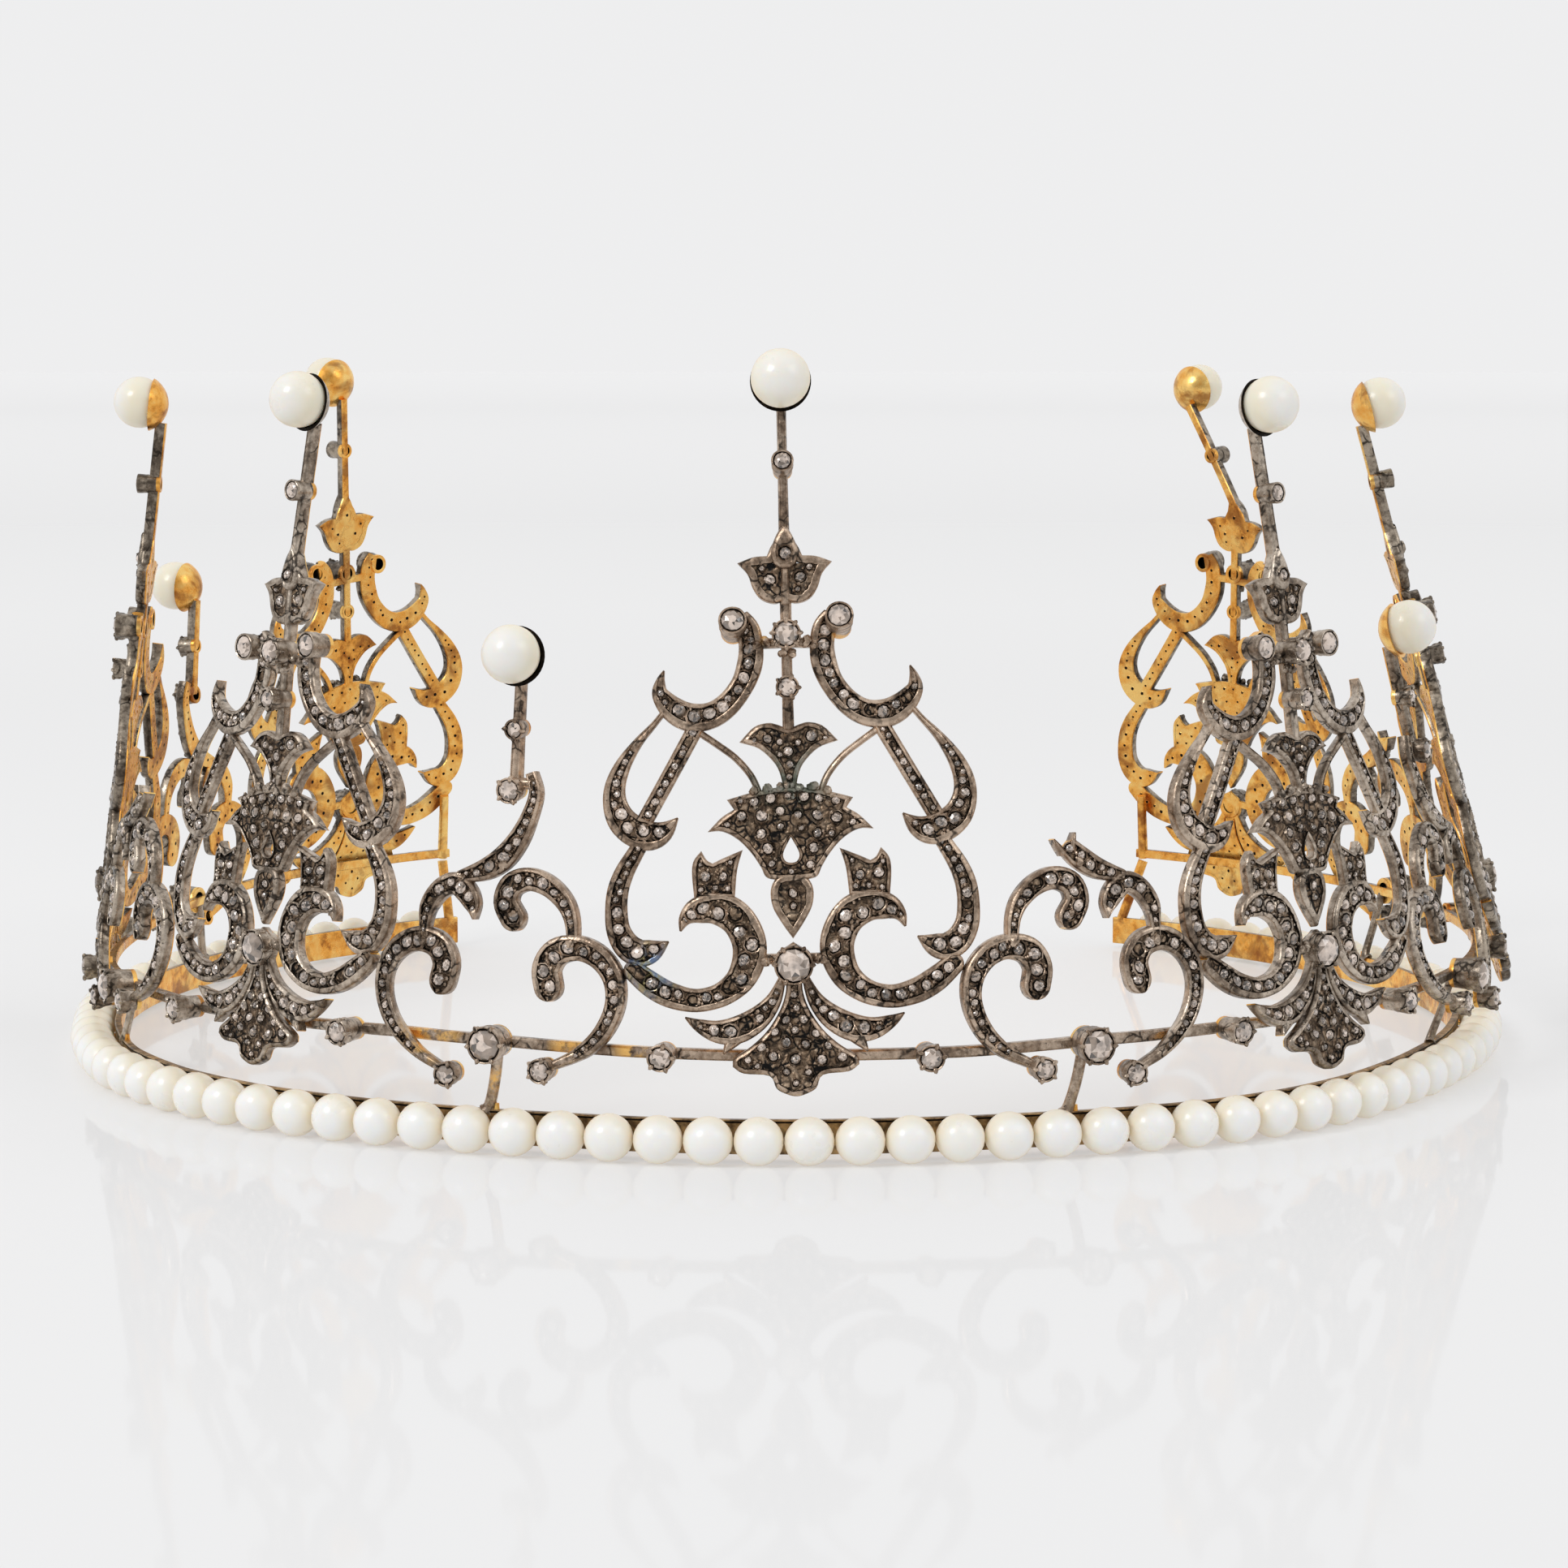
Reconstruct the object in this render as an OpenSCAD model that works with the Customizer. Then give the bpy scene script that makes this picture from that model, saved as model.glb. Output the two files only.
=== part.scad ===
// Pearl tiara: a band of pearls, a gallery rail on posts, seven openwork palmettes and six sprays.
// Millimetres, Z up, the front faces -Y, the band pearls rest on Z = 0 and the ring's axis is Z.

/* [Band] */
// Radius of the circle through the centres of the band pearls
pearl_line_radius = 83; // [75:0.5:95]
// Diameter of a band pearl
band_pearl_diameter = 5.0; // [3:0.1:7]
// Distance from one band pearl to the next, along the circle
band_pearl_pitch = 5.12; // [3.2:0.02:7.2]
// Band pearls to the left of the front
pearls_left = 41; // [30:1:45]
// Band pearls to the right of the front
pearls_right = 41; // [30:1:45]
// Thickness of the band
band_thickness = 0.8; // [0.5:0.1:1.5]
// Height of the band
band_height = 3.8; // [3:0.1:6]
// Height of the band's lower edge over the surface
band_foot = 0.6; // [0.2:0.1:1.5]
// Diameter of the peg that carries a band pearl
band_peg_diameter = 0.76; // [0.5:0.02:1]

/* [Gallery rail] */
// Height of the rail's centre at the front
rail_height = 11.4; // [9:0.1:14]
// Height of the rail's section
rail_depth = 1.2; // [0.8:0.1:2]
// Thickness of the rail's section
rail_thickness = 1.0; // [0.6:0.1:1.6]
// How much the rail rises toward the back, in degrees
rail_rise = 0.6; // [0:0.1:2]
// Angle from the front to each end of the rail
rail_end_angle = 144.5; // [120:0.5:165]
// How far the rail and the plates stand to the right of the band's middle
gallery_shift = 1.2; // [0:0.1:3]
// Diameter of a post
post_diameter = 1.4; // [0.8:0.1:2]
// Height of the tops of the two end posts
end_post_top = 21; // [15:0.5:30]

/* [Openwork] */
// Thickness of the pierced plates
plate_thickness = 1.3; // [0.8:0.1:2]
// Points worked out between two rows of a stroke table
curve_steps = 2; // [1:1:5]
// Half width of the thin stems
stem_half_width = 0.55; // [0.4:0.05:0.9]
// How far the raised collets droop from the plate's normal, in degrees
collet_droop = 8; // [0:1:15]
// Clearance between separate pieces
gap = 0.12; // [0.1:0.01:0.3]

/* [Pearls and stones] */
// Diameter of the pearls on the palmettes and sprays
top_pearl_diameter = 6.0; // [5:0.1:8]
// How far a top pearl's centre stands in front of its stem
pearl_stand = 2.8; // [2:0.1:4]
// Wall of the cup behind a top pearl
cup_wall = 0.3; // [0.3:0.05:0.8]
// Diameter of the peg in a top pearl
top_peg_diameter = 0.8; // [0.5:0.05:1.2]

/* [Hidden] */

silver = [0.42, 0.38, 0.34];
gold = [0.83, 0.62, 0.28];
pearl = [0.95, 0.93, 0.88];
stone = [0.74, 0.72, 0.70];
round = 96;

pearl_radius = band_pearl_diameter / 2;
// The band was bent by hand and bulges out of its circle beside the front: angle, millimetres
band_bulges = [
    [-146, 0], [-96, -0.6], [-80, -0.9], [-71, 0.2], [-62, 1.7], [-52, 2.4], [-42, 2.2], [-34, 1.3], [-26, 0.3],
    [-17, -0.3], [-8, 0], [10, 0.1], [18, 0.4], [26, 1.4], [33, 2.2], [40, 2.3], [47, 1.7], [54, 0.8], [62, 0.1],
    [74, -0.1], [90, 0], [146, 0]];
function ring_radius(angle) = pearl_line_radius + lookup(angle, band_bulges);
outer_inset = pearl_radius + 0.14;
band_top = band_foot + band_height;
half_pitch = band_pearl_pitch / pearl_line_radius * 90 / PI;
// Angles of the band pearls on one side of the front, each a pitch on from the last
function pearl_side(count, way) = [for (i = 0, a = way * half_pitch; i < count;
    i = i + 1, a = a + way * band_pearl_pitch / ring_radius(a) * 180 / PI) a];
pearl_angles = concat(reversed(pearl_side(pearls_left, -1)), pearl_side(pearls_right, 1));
left_end = half_pitch + 1.5 - pearl_angles[0];
right_end = half_pitch + 1.5 + pearl_angles[len(pearl_angles) - 1];

plate_radius = pearl_line_radius - 0.2;
rail_outer = plate_radius - plate_thickness / 2 - 0.6;
rail_inner = rail_outer - rail_thickness;
rail_middle = (rail_outer + rail_inner) / 2;
pivot = 11;

top_radius = top_pearl_diameter / 2;
cup_inner = top_radius + gap;
cup_outer = cup_inner + cup_wall;
cup_rim = 2.0;

// Palmettes, left 3 to right 3: angle round the ring, lean inward, tilt sideways, size,
// stretch of the stem, bend of the stem, height of the pivot, distance out of the rail's circle
palmettes = [
    [-133.9,  8.1,  7.0, 0.955, 0.98,   0, 11.5, 0.0],
    [ -89.2,  7.2,  2.2, 0.930, 1.07,   0,  8.8, 0.0],
    [ -43.6,  9.1, -2.4, 0.940, 1.06,   5,  9.6, 0.0],
    [   0.0,  9.1, -1.3, 0.995, 0.95,   0, 10.7, 0.0],
    [  42.6, 10.3,  1.4, 0.950, 1.02,  -4,  9.4, 0.15],
    [  89.0, 15.6, -2.0, 0.980, 0.95,   0,  9.4, 1.8],
    [ 134.5,  7.7, -6.5, 0.950, 0.90,  29, 11.5, 0.0]];

// Sprays, left 3 to right 3: angle, lean inward, width, height of the pivot,
// which way the stem stands, whole or broken
sprays = [
    [-111.0,  3.5, 0.94, 11.3,  1, 1],
    [ -66.6,  8.0, 0.96, 11.1,  1, 0],
    [ -22.0,  7.5, 0.98, 10.7,  1, 1],
    [  21.3,  8.0, 0.94, 10.9, -1, 0],
    [  65.8, 14.0, 1.00, 11.0, -1, 1],
    [ 111.8,  7.0, 0.97, 11.3, -1, 0]];

// Stroke tables of the palmette's right half: x, height, half width
upper_crescent = [
    [4.6, 56.2, 0.8], [3.9, 54.8, 1.2], [3.6, 53.0, 1.25], [3.8, 51.1, 1.3],
    [4.6, 49.1, 1.2], [6.1, 47.2, 1.25],
    [7.9, 46.1, 1.35], [10.0, 46.0, 1.45], [11.7, 46.9, 1.3], [12.9, 48.4, 0.9],
    [12.9, 49.7, 0.5], [12.5, 50.8, 0.08]];
outer_crescent = [
    [12.6, 46.6, 0.3], [13.7, 45.3, 0.32], [15.3, 43.6, 0.5], [16.8, 41.5, 0.8], [17.7, 39.4, 1.05],
    [17.8, 37.5, 1.25], [17.1, 35.7, 1.5], [15.7, 34.5, 1.6], [14.1, 34.1, 1.5],
    [12.7, 34.6, 1.0], [11.4, 35.8, 0.08]];
slant_bar = [[9.4, 44.9, 0.85], [14.9, 35.4, 0.85]];
thin_wire = [[8.9, 44.3, 0.35], [7.2, 43.1, 0.35], [5.4, 41.7, 0.35], [3.9, 39.9, 0.35], [3.1, 38.1, 0.35]];
lower_limb = [
    [15.1, 33.5, 0.8], [15.8, 32.4, 0.85], [17.0, 30.4, 1.0], [17.7, 28.5, 1.1], [17.9, 26.5, 1.15],
    [17.7, 24.5, 1.25], [16.8, 22.9, 1.4], [15.5, 22.2, 1.4], [14.1, 22.5, 1.1], [12.6, 23.3, 0.08]];
big_scroll = [
    [11.4, 24.3, 0.1], [10.9, 25.5, 0.7], [9.8, 26.3, 1.3], [8.1, 26.6, 1.6],
    [6.5, 26.1, 1.75], [5.3, 25.0, 1.75],
    [4.5, 23.2, 1.75], [4.5, 21.4, 1.7], [5.3, 19.5, 1.5], [6.7, 18.2, 1.3],
    [8.3, 17.5, 1.2], [10.3, 17.3, 1.2],
    [12.6, 17.9, 1.3], [14.5, 19.0, 1.3], [16.2, 20.4, 1.1]];
side_leaf = [
    [1.1, 19.7, 0.4], [1.3, 19.0, 0.45], [2.2, 17.0, 0.85], [3.8, 15.3, 1.25], [5.9, 14.2, 1.4],
    [7.9, 14.1, 1.15], [9.8, 14.8, 0.65], [11.1, 15.6, 0.08]];
leaf_spur = [[5.6, 13.9, 0.9], [6.6, 12.8, 0.6], [7.3, 11.8, 0.1]];

// Outlines of the palmette's right half: x, height
tulip = [
    [0, 64.9], [1.2, 63.7], [1.8, 62.4], [3.2, 62.3], [4.8, 61.7], [3.8, 60.5], [3.3, 59.0], [2.5, 57.8],
    [1.2, 57.3], [0, 57.5]];
middle_tulip = [
    [0, 44.6], [1.1, 45.0], [2.1, 45.2], [3.5, 44.8], [5.0, 43.3], [3.0, 42.6], [1.4, 41.0], [0.8, 39.4],
    [0.7, 38.0], [0, 38.0]];
thistle = [
    [0, 38.7], [2.4, 38.5], [4.2, 38.1], [6.4, 37.5], [5.7, 36.5], [7.0, 35.7], [8.4, 34.3], [6.9, 34.3],
    [5.3, 33.4], [4.0, 32.0], [3.1, 30.6], [2.6, 29.6], [1.6, 29.3], [0, 29.3]];
thistle_hole = [[0, 33.6], [0.8, 32.0], [0.6, 31.2], [0, 31.0]];
drop = [[0, 29.7], [1.5, 29.2], [1.95, 28.0], [1.7, 26.2], [1.0, 24.8], [0, 23.5]];
crown = [
    [9.9, 27.4], [10.1, 30.0], [9.9, 31.4], [9.1, 32.4], [8.6, 31.5], [8.0, 31.1], [6.9, 31.6], [4.9, 32.4],
    [5.5, 30.4], [5.8, 27.6]];
waist = [[0, 23.0], [0.6, 22.6], [1.6, 22.0], [2.0, 20.8], [1.6, 19.6], [0.9, 19.0], [0, 18.9]];
foot = [
    [0, 19.2], [0.8, 19.0], [0.9, 17.8], [1.5, 16.1], [2.8, 14.1], [4.4, 12.6], [6.2, 11.4], [6.4, 10.5],
    [5.3, 9.8], [2.7, 9.5], [2.0, 8.2], [0.9, 7.6], [0, 7.4]];
upper_stem = [[0, 63.5, 0.55], [0, 79, 0.55]];

// Stroke tables of a spray, stem to the right: x, height, half width
lower_scroll = [
    [6.1, 17.8, 1.5], [5.8, 19.7, 1.5], [6.9, 21.4, 1.45], [9.2, 21.9, 1.3],
    [11.4, 21.1, 1.2], [12.9, 19.4, 1.1],
    [13.4, 17.4, 1.0], [13.1, 15.4, 0.95], [12.1, 13.4, 0.9], [10.5, 11.7, 0.8], [8.5, 10.2, 0.62],
    [6.2, 9.1, 0.5], [4.9, 8.6, 0.45]];
// The end of that scroll on the stem's side, which is shorter
short_tail = [[10.7, 11.9, 0.8], [9.2, 10.9, 0.62], [7.5, 10.1, 0.5], [6.2, 9.6, 0.45]];
hook_scroll = [
    [-8.5, 21.6, 0.6], [-8.5, 23.6, 0.7], [-8.2, 25.4, 1.0], [-6.9, 27.1, 1.1], [-5.2, 27.8, 1.15],
    [-3.8, 27.0, 1.2], [-2.9, 25.6, 0.9], [-2.6, 24.2, 0.1]];
bulb_scroll = [
    [1.8, 24.6, 1.4], [0.9, 26.2, 1.35], [1.5, 27.9, 1.3], [3.4, 28.6, 1.2],
    [5.6, 28.0, 1.1], [7.4, 26.5, 0.95],
    [8.3, 24.7, 0.75], [8.6, 22.4, 0.6]];
stem_curve = [
    [3.0, 39.4, 0.6], [3.6, 37.4, 0.7], [3.0, 35.0, 0.85], [1.9, 32.6, 1.1], [0.3, 30.6, 1.25],
    [-1.8, 29.3, 1.1], [-4.6, 28.5, 0.6]];
broken_curve = [[1.7, 31.9, 1.0], [0.3, 30.6, 1.2], [-1.8, 29.3, 1.1], [-4.6, 28.5, 0.6]];

// Collets of a palmette and of a spray: x, height, outer radius, stand-out in front of the plate,
// and the droop where it isn't collet_droop (below zero it points up)
palmette_collets = [
    [0, 71.7, 1.15, 2.2, -12], [-5.4, 54.7, 1.45, 2.4, -16], [5.4, 55.0, 1.45, 2.4, -16],
    [0, 54.2, 1.5, 2.1, 4], [0, 48.8, 1.2, 1.9, 4],
    [0, 20.8, 2.0, 1.0]];
end_collets = [[-4.5, 8.5, 1.3, 1.1], [6.2, 9.5, 1.3, 1.1]];
stem_collets = [[1.2, 37.7, 1.35, 1.1], [1.4, 43.9, 1.1, 0.9]];
spray_pearl_spot = [1.3, 51.3];
palmette_pearl_spot = [0, 81.1];

// A palmette's drawing at its own size: the stem's part over 58 mm is stretched and bent,
// then all is scaled about the pivot
function stretched(v, p) = v < 58 ? v : 58 + (v - 58) * p[4];
function bent(x, v, p) = v < 64 ? x : x + (v - 64) * tan(p[5]);
function lift(points, p) = [for (q = points)
    [bent(q[0], q[1], p) * p[3], pivot + (stretched(q[1], p) - pivot) * p[3]]];
function lift_rows(rows, p) = [for (q = rows)
    [bent(q[0], q[1], p) * p[3], pivot + (stretched(q[1], p) - pivot) * p[3], q[2] * p[3]]];
function widen(rows, wide) = [for (p = rows) [p[0] * wide, p[1], p[2]]];
function reversed(list) = [for (i = [len(list) - 1:-1:0]) list[i]];
function both_halves(points) = concat(points, [for (p = reversed(points)) if (p[0] > 0.001) [-p[0], p[1]]]);
function between(a, b, c, d, t) =
    0.5 * (2 * b + (c - a) * t + (2 * a - 5 * b + 4 * c - d) * t * t + (3 * b - a - 3 * c + d) * t * t * t);
function smooth(rows, steps) = let (last = len(rows) - 1)
    concat([for (i = [0:last - 1], j = [0:steps - 1])
        between(rows[max(i - 1, 0)], rows[i], rows[i + 1], rows[min(i + 2, last)], j / steps)], [rows[last]]);
function across(rows, i) =
    let (a = rows[max(i - 1, 0)], b = rows[min(i + 1, len(rows) - 1)], d = [b[0] - a[0], b[1] - a[1]])
    [-d[1], d[0]] / norm(d);
function edge(rows, side) = [for (i = [0:len(rows) - 1])
    [rows[i][0], rows[i][1]] + side * rows[i][2] * across(rows, i)];
function outline(rows) = concat(edge(rows, 1), reversed(edge(rows, -1)));
// The rail sags a little at the front and more to the left of it: angle, millimetres
rail_dips = [
    [-144.5, 0], [-122, -0.3], [-106, -1.4], [-95, -2.2], [-80, -2.4], [-68, -1.5], [-54, -1.1], [-42, -0.5],
    [-30, 0], [-22, 0], [-12, -0.4], [0, -0.5], [12, -0.4], [22, 0]];
function rail_level(angle) =
    rail_height + sin(rail_rise) * pearl_line_radius * (1 - cos(angle)) + lookup(angle, rail_dips);

module stroke(rows, steps = curve_steps) {
    polygon(outline(smooth(rows, steps)));
}

module mirrored() {
    children();
    mirror([1, 0]) children();
}

module palmette_drawing(p) {
    difference() {
        union() {
            mirrored() {
                stroke(lift_rows(upper_crescent, p));
                stroke(lift_rows(outer_crescent, p));
                stroke(lift_rows(slant_bar, p), 1);
                stroke(lift_rows(thin_wire, p));
                stroke(lift_rows(lower_limb, p));
                stroke(lift_rows(big_scroll, p));
                stroke(lift_rows(side_leaf, p));
                stroke(lift_rows(leaf_spur, p), 1);
                polygon(lift(crown, p));
            }
            for (shape = [tulip, middle_tulip, thistle, drop, waist, foot]) {
                polygon(both_halves(lift(shape, p)));
            }
            stroke(lift_rows(upper_stem, p), 1);
            stem_strip(p, 44, 58);
            link_strip(p, 53.3, 3.9);
            link_strip(p, 21.3, 3.4);
        }
        polygon(both_halves(lift(thistle_hole, p)));
    }
}

module stem_strip(p, low, high) {
    ends = lift([[0, low], [0, high]], p);
    translate([-stem_half_width - 0.1, ends[0][1]])
        square([2 * stem_half_width + 0.2, ends[1][1] - ends[0][1]]);
}

module link_strip(p, level, half) {
    spot = lift([[half, level]], p)[0];
    translate([-spot[0], spot[1] - 0.55]) square([2 * spot[0], 1.1]);
}

module half_spray(wide, rows) {
    stroke(widen(rows, wide));
    translate([6.1 * wide, 17.6]) circle(r = 1.6, $fn = 20);
}

module spray_drawing(wide, whole) {
    half_spray(wide, concat([for (i = [0:8]) lower_scroll[i]], short_tail));
    mirror([1, 0]) half_spray(wide, lower_scroll);
    stroke(widen(hook_scroll, wide));
    stroke(widen(bulb_scroll, wide));
    translate([1.8 * wide, 24.6]) circle(r = 1.5, $fn = 20);
    translate([0.9, 29.5]) circle(r = 0.9, $fn = 20);
    if (whole) {
        stroke(stem_curve);
        translate([1.3 - stem_half_width - 0.1, 38]) square([2 * stem_half_width + 0.2, 11.6]);
        translate([0.9, 37.6]) square([2.2, 1.4]);
    } else {
        stroke(broken_curve);
    }
}

// A pierced plate bent to the ring's curve: the drawing cut through a cylinder's wall, at the local origin
module bent_plate() {
    intersection() {
        translate([0, 6, 0]) rotate([90, 0, 0]) linear_extrude(10)
            offset(delta = 0.02) offset(delta = -0.02) children();
        translate([0, plate_radius, 0]) difference() {
            cylinder(h = 90, r = plate_radius + plate_thickness / 2, $fn = round);
            translate([0, 0, -1]) cylinder(h = 92, r = plate_radius - plate_thickness / 2, $fn = round);
        }
    }
}

// Depth of the bent plate's middle at a distance across
function bend(x) = plate_radius - sqrt(plate_radius * plate_radius - x * x);
function stone_radius(collet) = collet - 0.32;
function droop_of(collet) = is_undef(collet[4]) ? collet_droop : collet[4];
// Only the front palmette's upper collets point up; the others stand out less and droop
function collets_of(p) = [for (c = palmette_collets)
    p[0] != 0 && droop_of(c) < 0 ? [c[0], c[1], c[2], c[3] - 0.8, 5] : c];

// Turns a collet's parts so that they point out of the plate at a spot and droop a little
module at_collet(spot, droop) {
    translate([spot[0], bend(spot[0]), spot[1]]) rotate([90 + droop, 0, 0]) children();
}

module collet_tube(spot, radius, stand, droop) {
    at_collet(spot, droop) translate([0, 0, -plate_thickness / 2 - 0.1])
        cylinder(h = plate_thickness + 0.1 + stand, r = radius, $fn = round);
}

module collet_bore(spot, radius, stand, droop) {
    seat = stone_radius(radius) + 0.1;
    at_collet(spot, droop) {
        translate([0, 0, -3]) cylinder(h = 9, r = seat * 0.62, $fn = round);
        translate([0, 0, plate_thickness / 2 + stand - 0.7]) cylinder(h = 2, r = seat, $fn = round);
    }
}

// A cut stone: a table, eight upper and eight lower crown facets, a girdle and a flat back
module cut_stone(spot, radius, stand, droop) {
    r = stone_radius(radius);
    at_collet(spot, droop) translate([0, 0, plate_thickness / 2 + stand - 0.58]) rotate(22.5) {
        cylinder(h = 0.55, r = r, $fn = 8);
        translate([0, 0, 0.55]) cylinder(h = r * 0.28, r1 = r, r2 = r * 0.76, $fn = 8);
        translate([0, 0, 0.55 + r * 0.28]) cylinder(h = r * 0.16, r1 = r * 0.76, r2 = r * 0.42, $fn = 8);
    }
}

module cup(spot) {
    translate([spot[0], -pearl_stand, spot[1]]) {
        intersection() {
            difference() {
                sphere(r = cup_outer, $fn = round);
                sphere(r = cup_inner, $fn = round);
            }
            translate([-5, cup_rim, -5]) cube([10, 5, 10]);
        }
        translate([0, cup_inner + cup_wall / 2, 0]) rotate([90, 0, 0])
            cylinder(h = cup_inner + cup_wall / 2, r = top_peg_diameter / 2, $fn = round);
    }
}

// The hollow that a cup's pearl needs in the plate behind it
module pearl_room(spot) {
    translate([spot[0], -pearl_stand, spot[1]]) sphere(r = cup_inner, $fn = round);
}

module top_pearl(spot) {
    translate([spot[0], -pearl_stand, spot[1]]) difference() {
        sphere(r = top_radius, $fn = round);
        translate([0, top_radius + 1, 0]) rotate([90, 0, 0])
            cylinder(h = top_radius + 1.3, r = top_peg_diameter / 2 + gap, $fn = round);
    }
}

// Places a motif drawn at the front: round the ring, leaned inward about the pivot and tilted sideways
module stand_up(angle, lean, tilt, height, outward) {
    translate([gallery_shift, 0, 0]) rotate([0, 0, angle]) translate([0, -plate_radius - outward, height])
        rotate([-lean, 0, 0]) rotate([0, tilt, 0]) translate([0, 0, -pivot]) children();
}

module place_palmette(p) {
    stand_up(p[0], p[1], p[2], p[6], p[7]) children();
}

module place_spray(s) {
    stand_up(s[0], s[1], 0, s[3], 0) mirror([s[4] > 0 ? 0 : 1, 0, 0]) children();
}

// Two struts reach back to the rail where a plate stands out of its circle
module struts(outward) {
    for (x = [-4, 4]) {
        translate([x, bend(x), pivot + 2]) rotate([-90, 0, 0])
            cylinder(h = outward + plate_thickness / 2, r = 0.5, $fn = round);
    }
}

module palmette(p) {
    pearl_spot = lift([palmette_pearl_spot], p)[0];
    place_palmette(p) difference() {
        union() {
            difference() {
                bent_plate() palmette_drawing(p);
                pearl_room(pearl_spot);
            }
            for (c = collets_of(p)) {
                collet_tube(lift([c], p)[0], c[2], c[3], droop_of(c));
            }
            cup(pearl_spot);
            if (p[7] > 0.5) {
                struts(p[7]);
            }
        }
        for (c = collets_of(p)) {
            collet_bore(lift([c], p)[0], c[2], c[3], droop_of(c));
        }
    }
}

module palmette_pearl(p) {
    place_palmette(p) top_pearl(lift([palmette_pearl_spot], p)[0]);
}

function spray_collets(s) = concat(
    [for (c = end_collets) [c[0] * s[2], c[1], c[2], c[3]]],
    s[5] == 1 ? stem_collets : []);

module spray(s) {
    place_spray(s) difference() {
        union() {
            difference() {
                bent_plate() spray_drawing(s[2], s[5] == 1);
                if (s[5] == 1) {
                    pearl_room(spray_pearl_spot);
                }
            }
            for (c = spray_collets(s)) {
                collet_tube(c, c[2], c[3], droop_of(c));
            }
            if (s[5] == 1) {
                cup(spray_pearl_spot);
            }
        }
        for (c = spray_collets(s)) {
            collet_bore(c, c[2], c[3], droop_of(c));
        }
    }
}

module spray_pearl(s) {
    place_spray(s) top_pearl(spray_pearl_spot);
}

function band_point(angle, inset) =
    [(ring_radius(angle) - inset) * sin(angle), -(ring_radius(angle) - inset) * cos(angle)];

// A strip round the ring, as one flat facet for each band pearl
module band() {
    last = len(pearl_angles) - 1;
    corners = concat([-left_end, -left_end + 1.5],
        [for (i = [0:last - 1]) (pearl_angles[i] + pearl_angles[i + 1]) / 2],
        [right_end - 1.5, right_end]);
    inner_inset = outer_inset + band_thickness;
    color(gold) union() {
        translate([0, 0, band_foot]) linear_extrude(band_height) polygon(concat(
            [for (a = corners) band_point(a, outer_inset)],
            [for (a = reversed(corners)) band_point(a, inner_inset)]));
        for (a = pearl_angles) {
            rotate([0, 0, a]) translate([0, inner_inset - band_thickness / 2 - ring_radius(a), pearl_radius])
                rotate([90, 0, 0])
                    cylinder(h = pearl_radius + band_thickness / 2, r = band_peg_diameter / 2, $fn = round);
        }
    }
}

module band_pearls() {
    color(pearl) for (a = pearl_angles) {
        rotate([0, 0, a]) translate([0, -ring_radius(a), pearl_radius])
            difference() {
                sphere(r = pearl_radius, $fn = round);
                translate([0, pearl_radius + 1, 0]) rotate([90, 0, 0])
                    cylinder(h = pearl_radius + 1.3, r = band_peg_diameter / 2 + gap, $fn = round);
            }
    }
}

// Rail collets stand either side of each palmette, and a larger one stands on each post:
// angle, radius, stand-out
rail_collets = concat(
    [for (p = palmettes, side = [-1, 1]) if (abs(p[0] + side * 9.3) < rail_end_angle - 5)
        [p[0] + side * 9.3, 1.4, abs(p[0]) > 80 ? 0.9 : 1.1]],
    [for (s = sprays) [s[0], 1.95, 1.2]]);
// Posts: angle of the foot on the band, angle at the rail
posts = concat(
    [for (s = sprays) [s[0], s[0]]],
    [[-left_end + 0.8, -rail_end_angle + 0.6], [right_end - 0.8, rail_end_angle - 0.6]]);

module rod(from, to, radius) {
    d = to - from;
    translate(from) rotate([0, acos(d[2] / norm(d)), atan2(d[1], d[0])])
        cylinder(h = norm(d), r = radius, $fn = round);
}

function rail_point(angle, radius, z) = [gallery_shift + radius * sin(angle), -radius * cos(angle), z];

module on_rail(angle) {
    translate([gallery_shift, 0, 0]) rotate([0, 0, angle])
        translate([0, -plate_radius, rail_level(angle)]) children();
}

// The rail as straight lengths between points on its wavering line
module rail_arc() {
    facets = 58;
    corners = [[rail_outer, -1], [rail_outer, 1], [rail_inner, 1], [rail_inner, -1]];
    last = 4 * facets;
    polyhedron(
        [for (i = [0:facets], c = corners) let (a = rail_end_angle * (2 * i / facets - 1))
            rail_point(a, c[0], rail_level(a) + c[1] * rail_depth / 2)],
        concat([[0, 3, 2], [0, 2, 1], [last, last + 1, last + 2], [last, last + 2, last + 3]],
            [for (i = [0:facets - 1], k = [0:3], f = [0, 1]) let (a = 4 * i + k, b = 4 * i + (k + 1) % 4)
                f == 0 ? [a, b, b + 4] : [a, b + 4, a + 4]]));
}

// A collet that stands on the rail, hollowed in front for its stone
module rail_collet(c) {
    depth = plate_radius - rail_middle + plate_thickness / 2 + c[2];
    on_rail(c[0]) translate([0, plate_radius - rail_middle, 0]) rotate([90, 0, 0]) difference() {
        cylinder(h = depth, r = c[1], $fn = round);
        translate([0, 0, depth - 0.7]) cylinder(h = 2, r = stone_radius(c[1]) + 0.1, $fn = round);
    }
}

module gallery_rail() {
    color(silver) union() {
        rail_arc();
        for (c = rail_collets) {
            rail_collet(c);
        }
        for (p = posts) {
            foot = band_point(p[0], outer_inset + band_thickness / 2);
            rod([foot[0], foot[1], band_top + 2 * gap],
                rail_point(p[1], rail_middle, rail_level(p[1])), post_diameter / 2);
        }
        for (angle = [-rail_end_angle + 0.6, rail_end_angle - 0.6]) {
            rod(rail_point(angle, rail_middle, rail_level(angle) - 0.3),
                rail_point(angle * 0.998, rail_middle - 1.3, end_post_top), post_diameter / 2);
        }
    }
}

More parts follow.
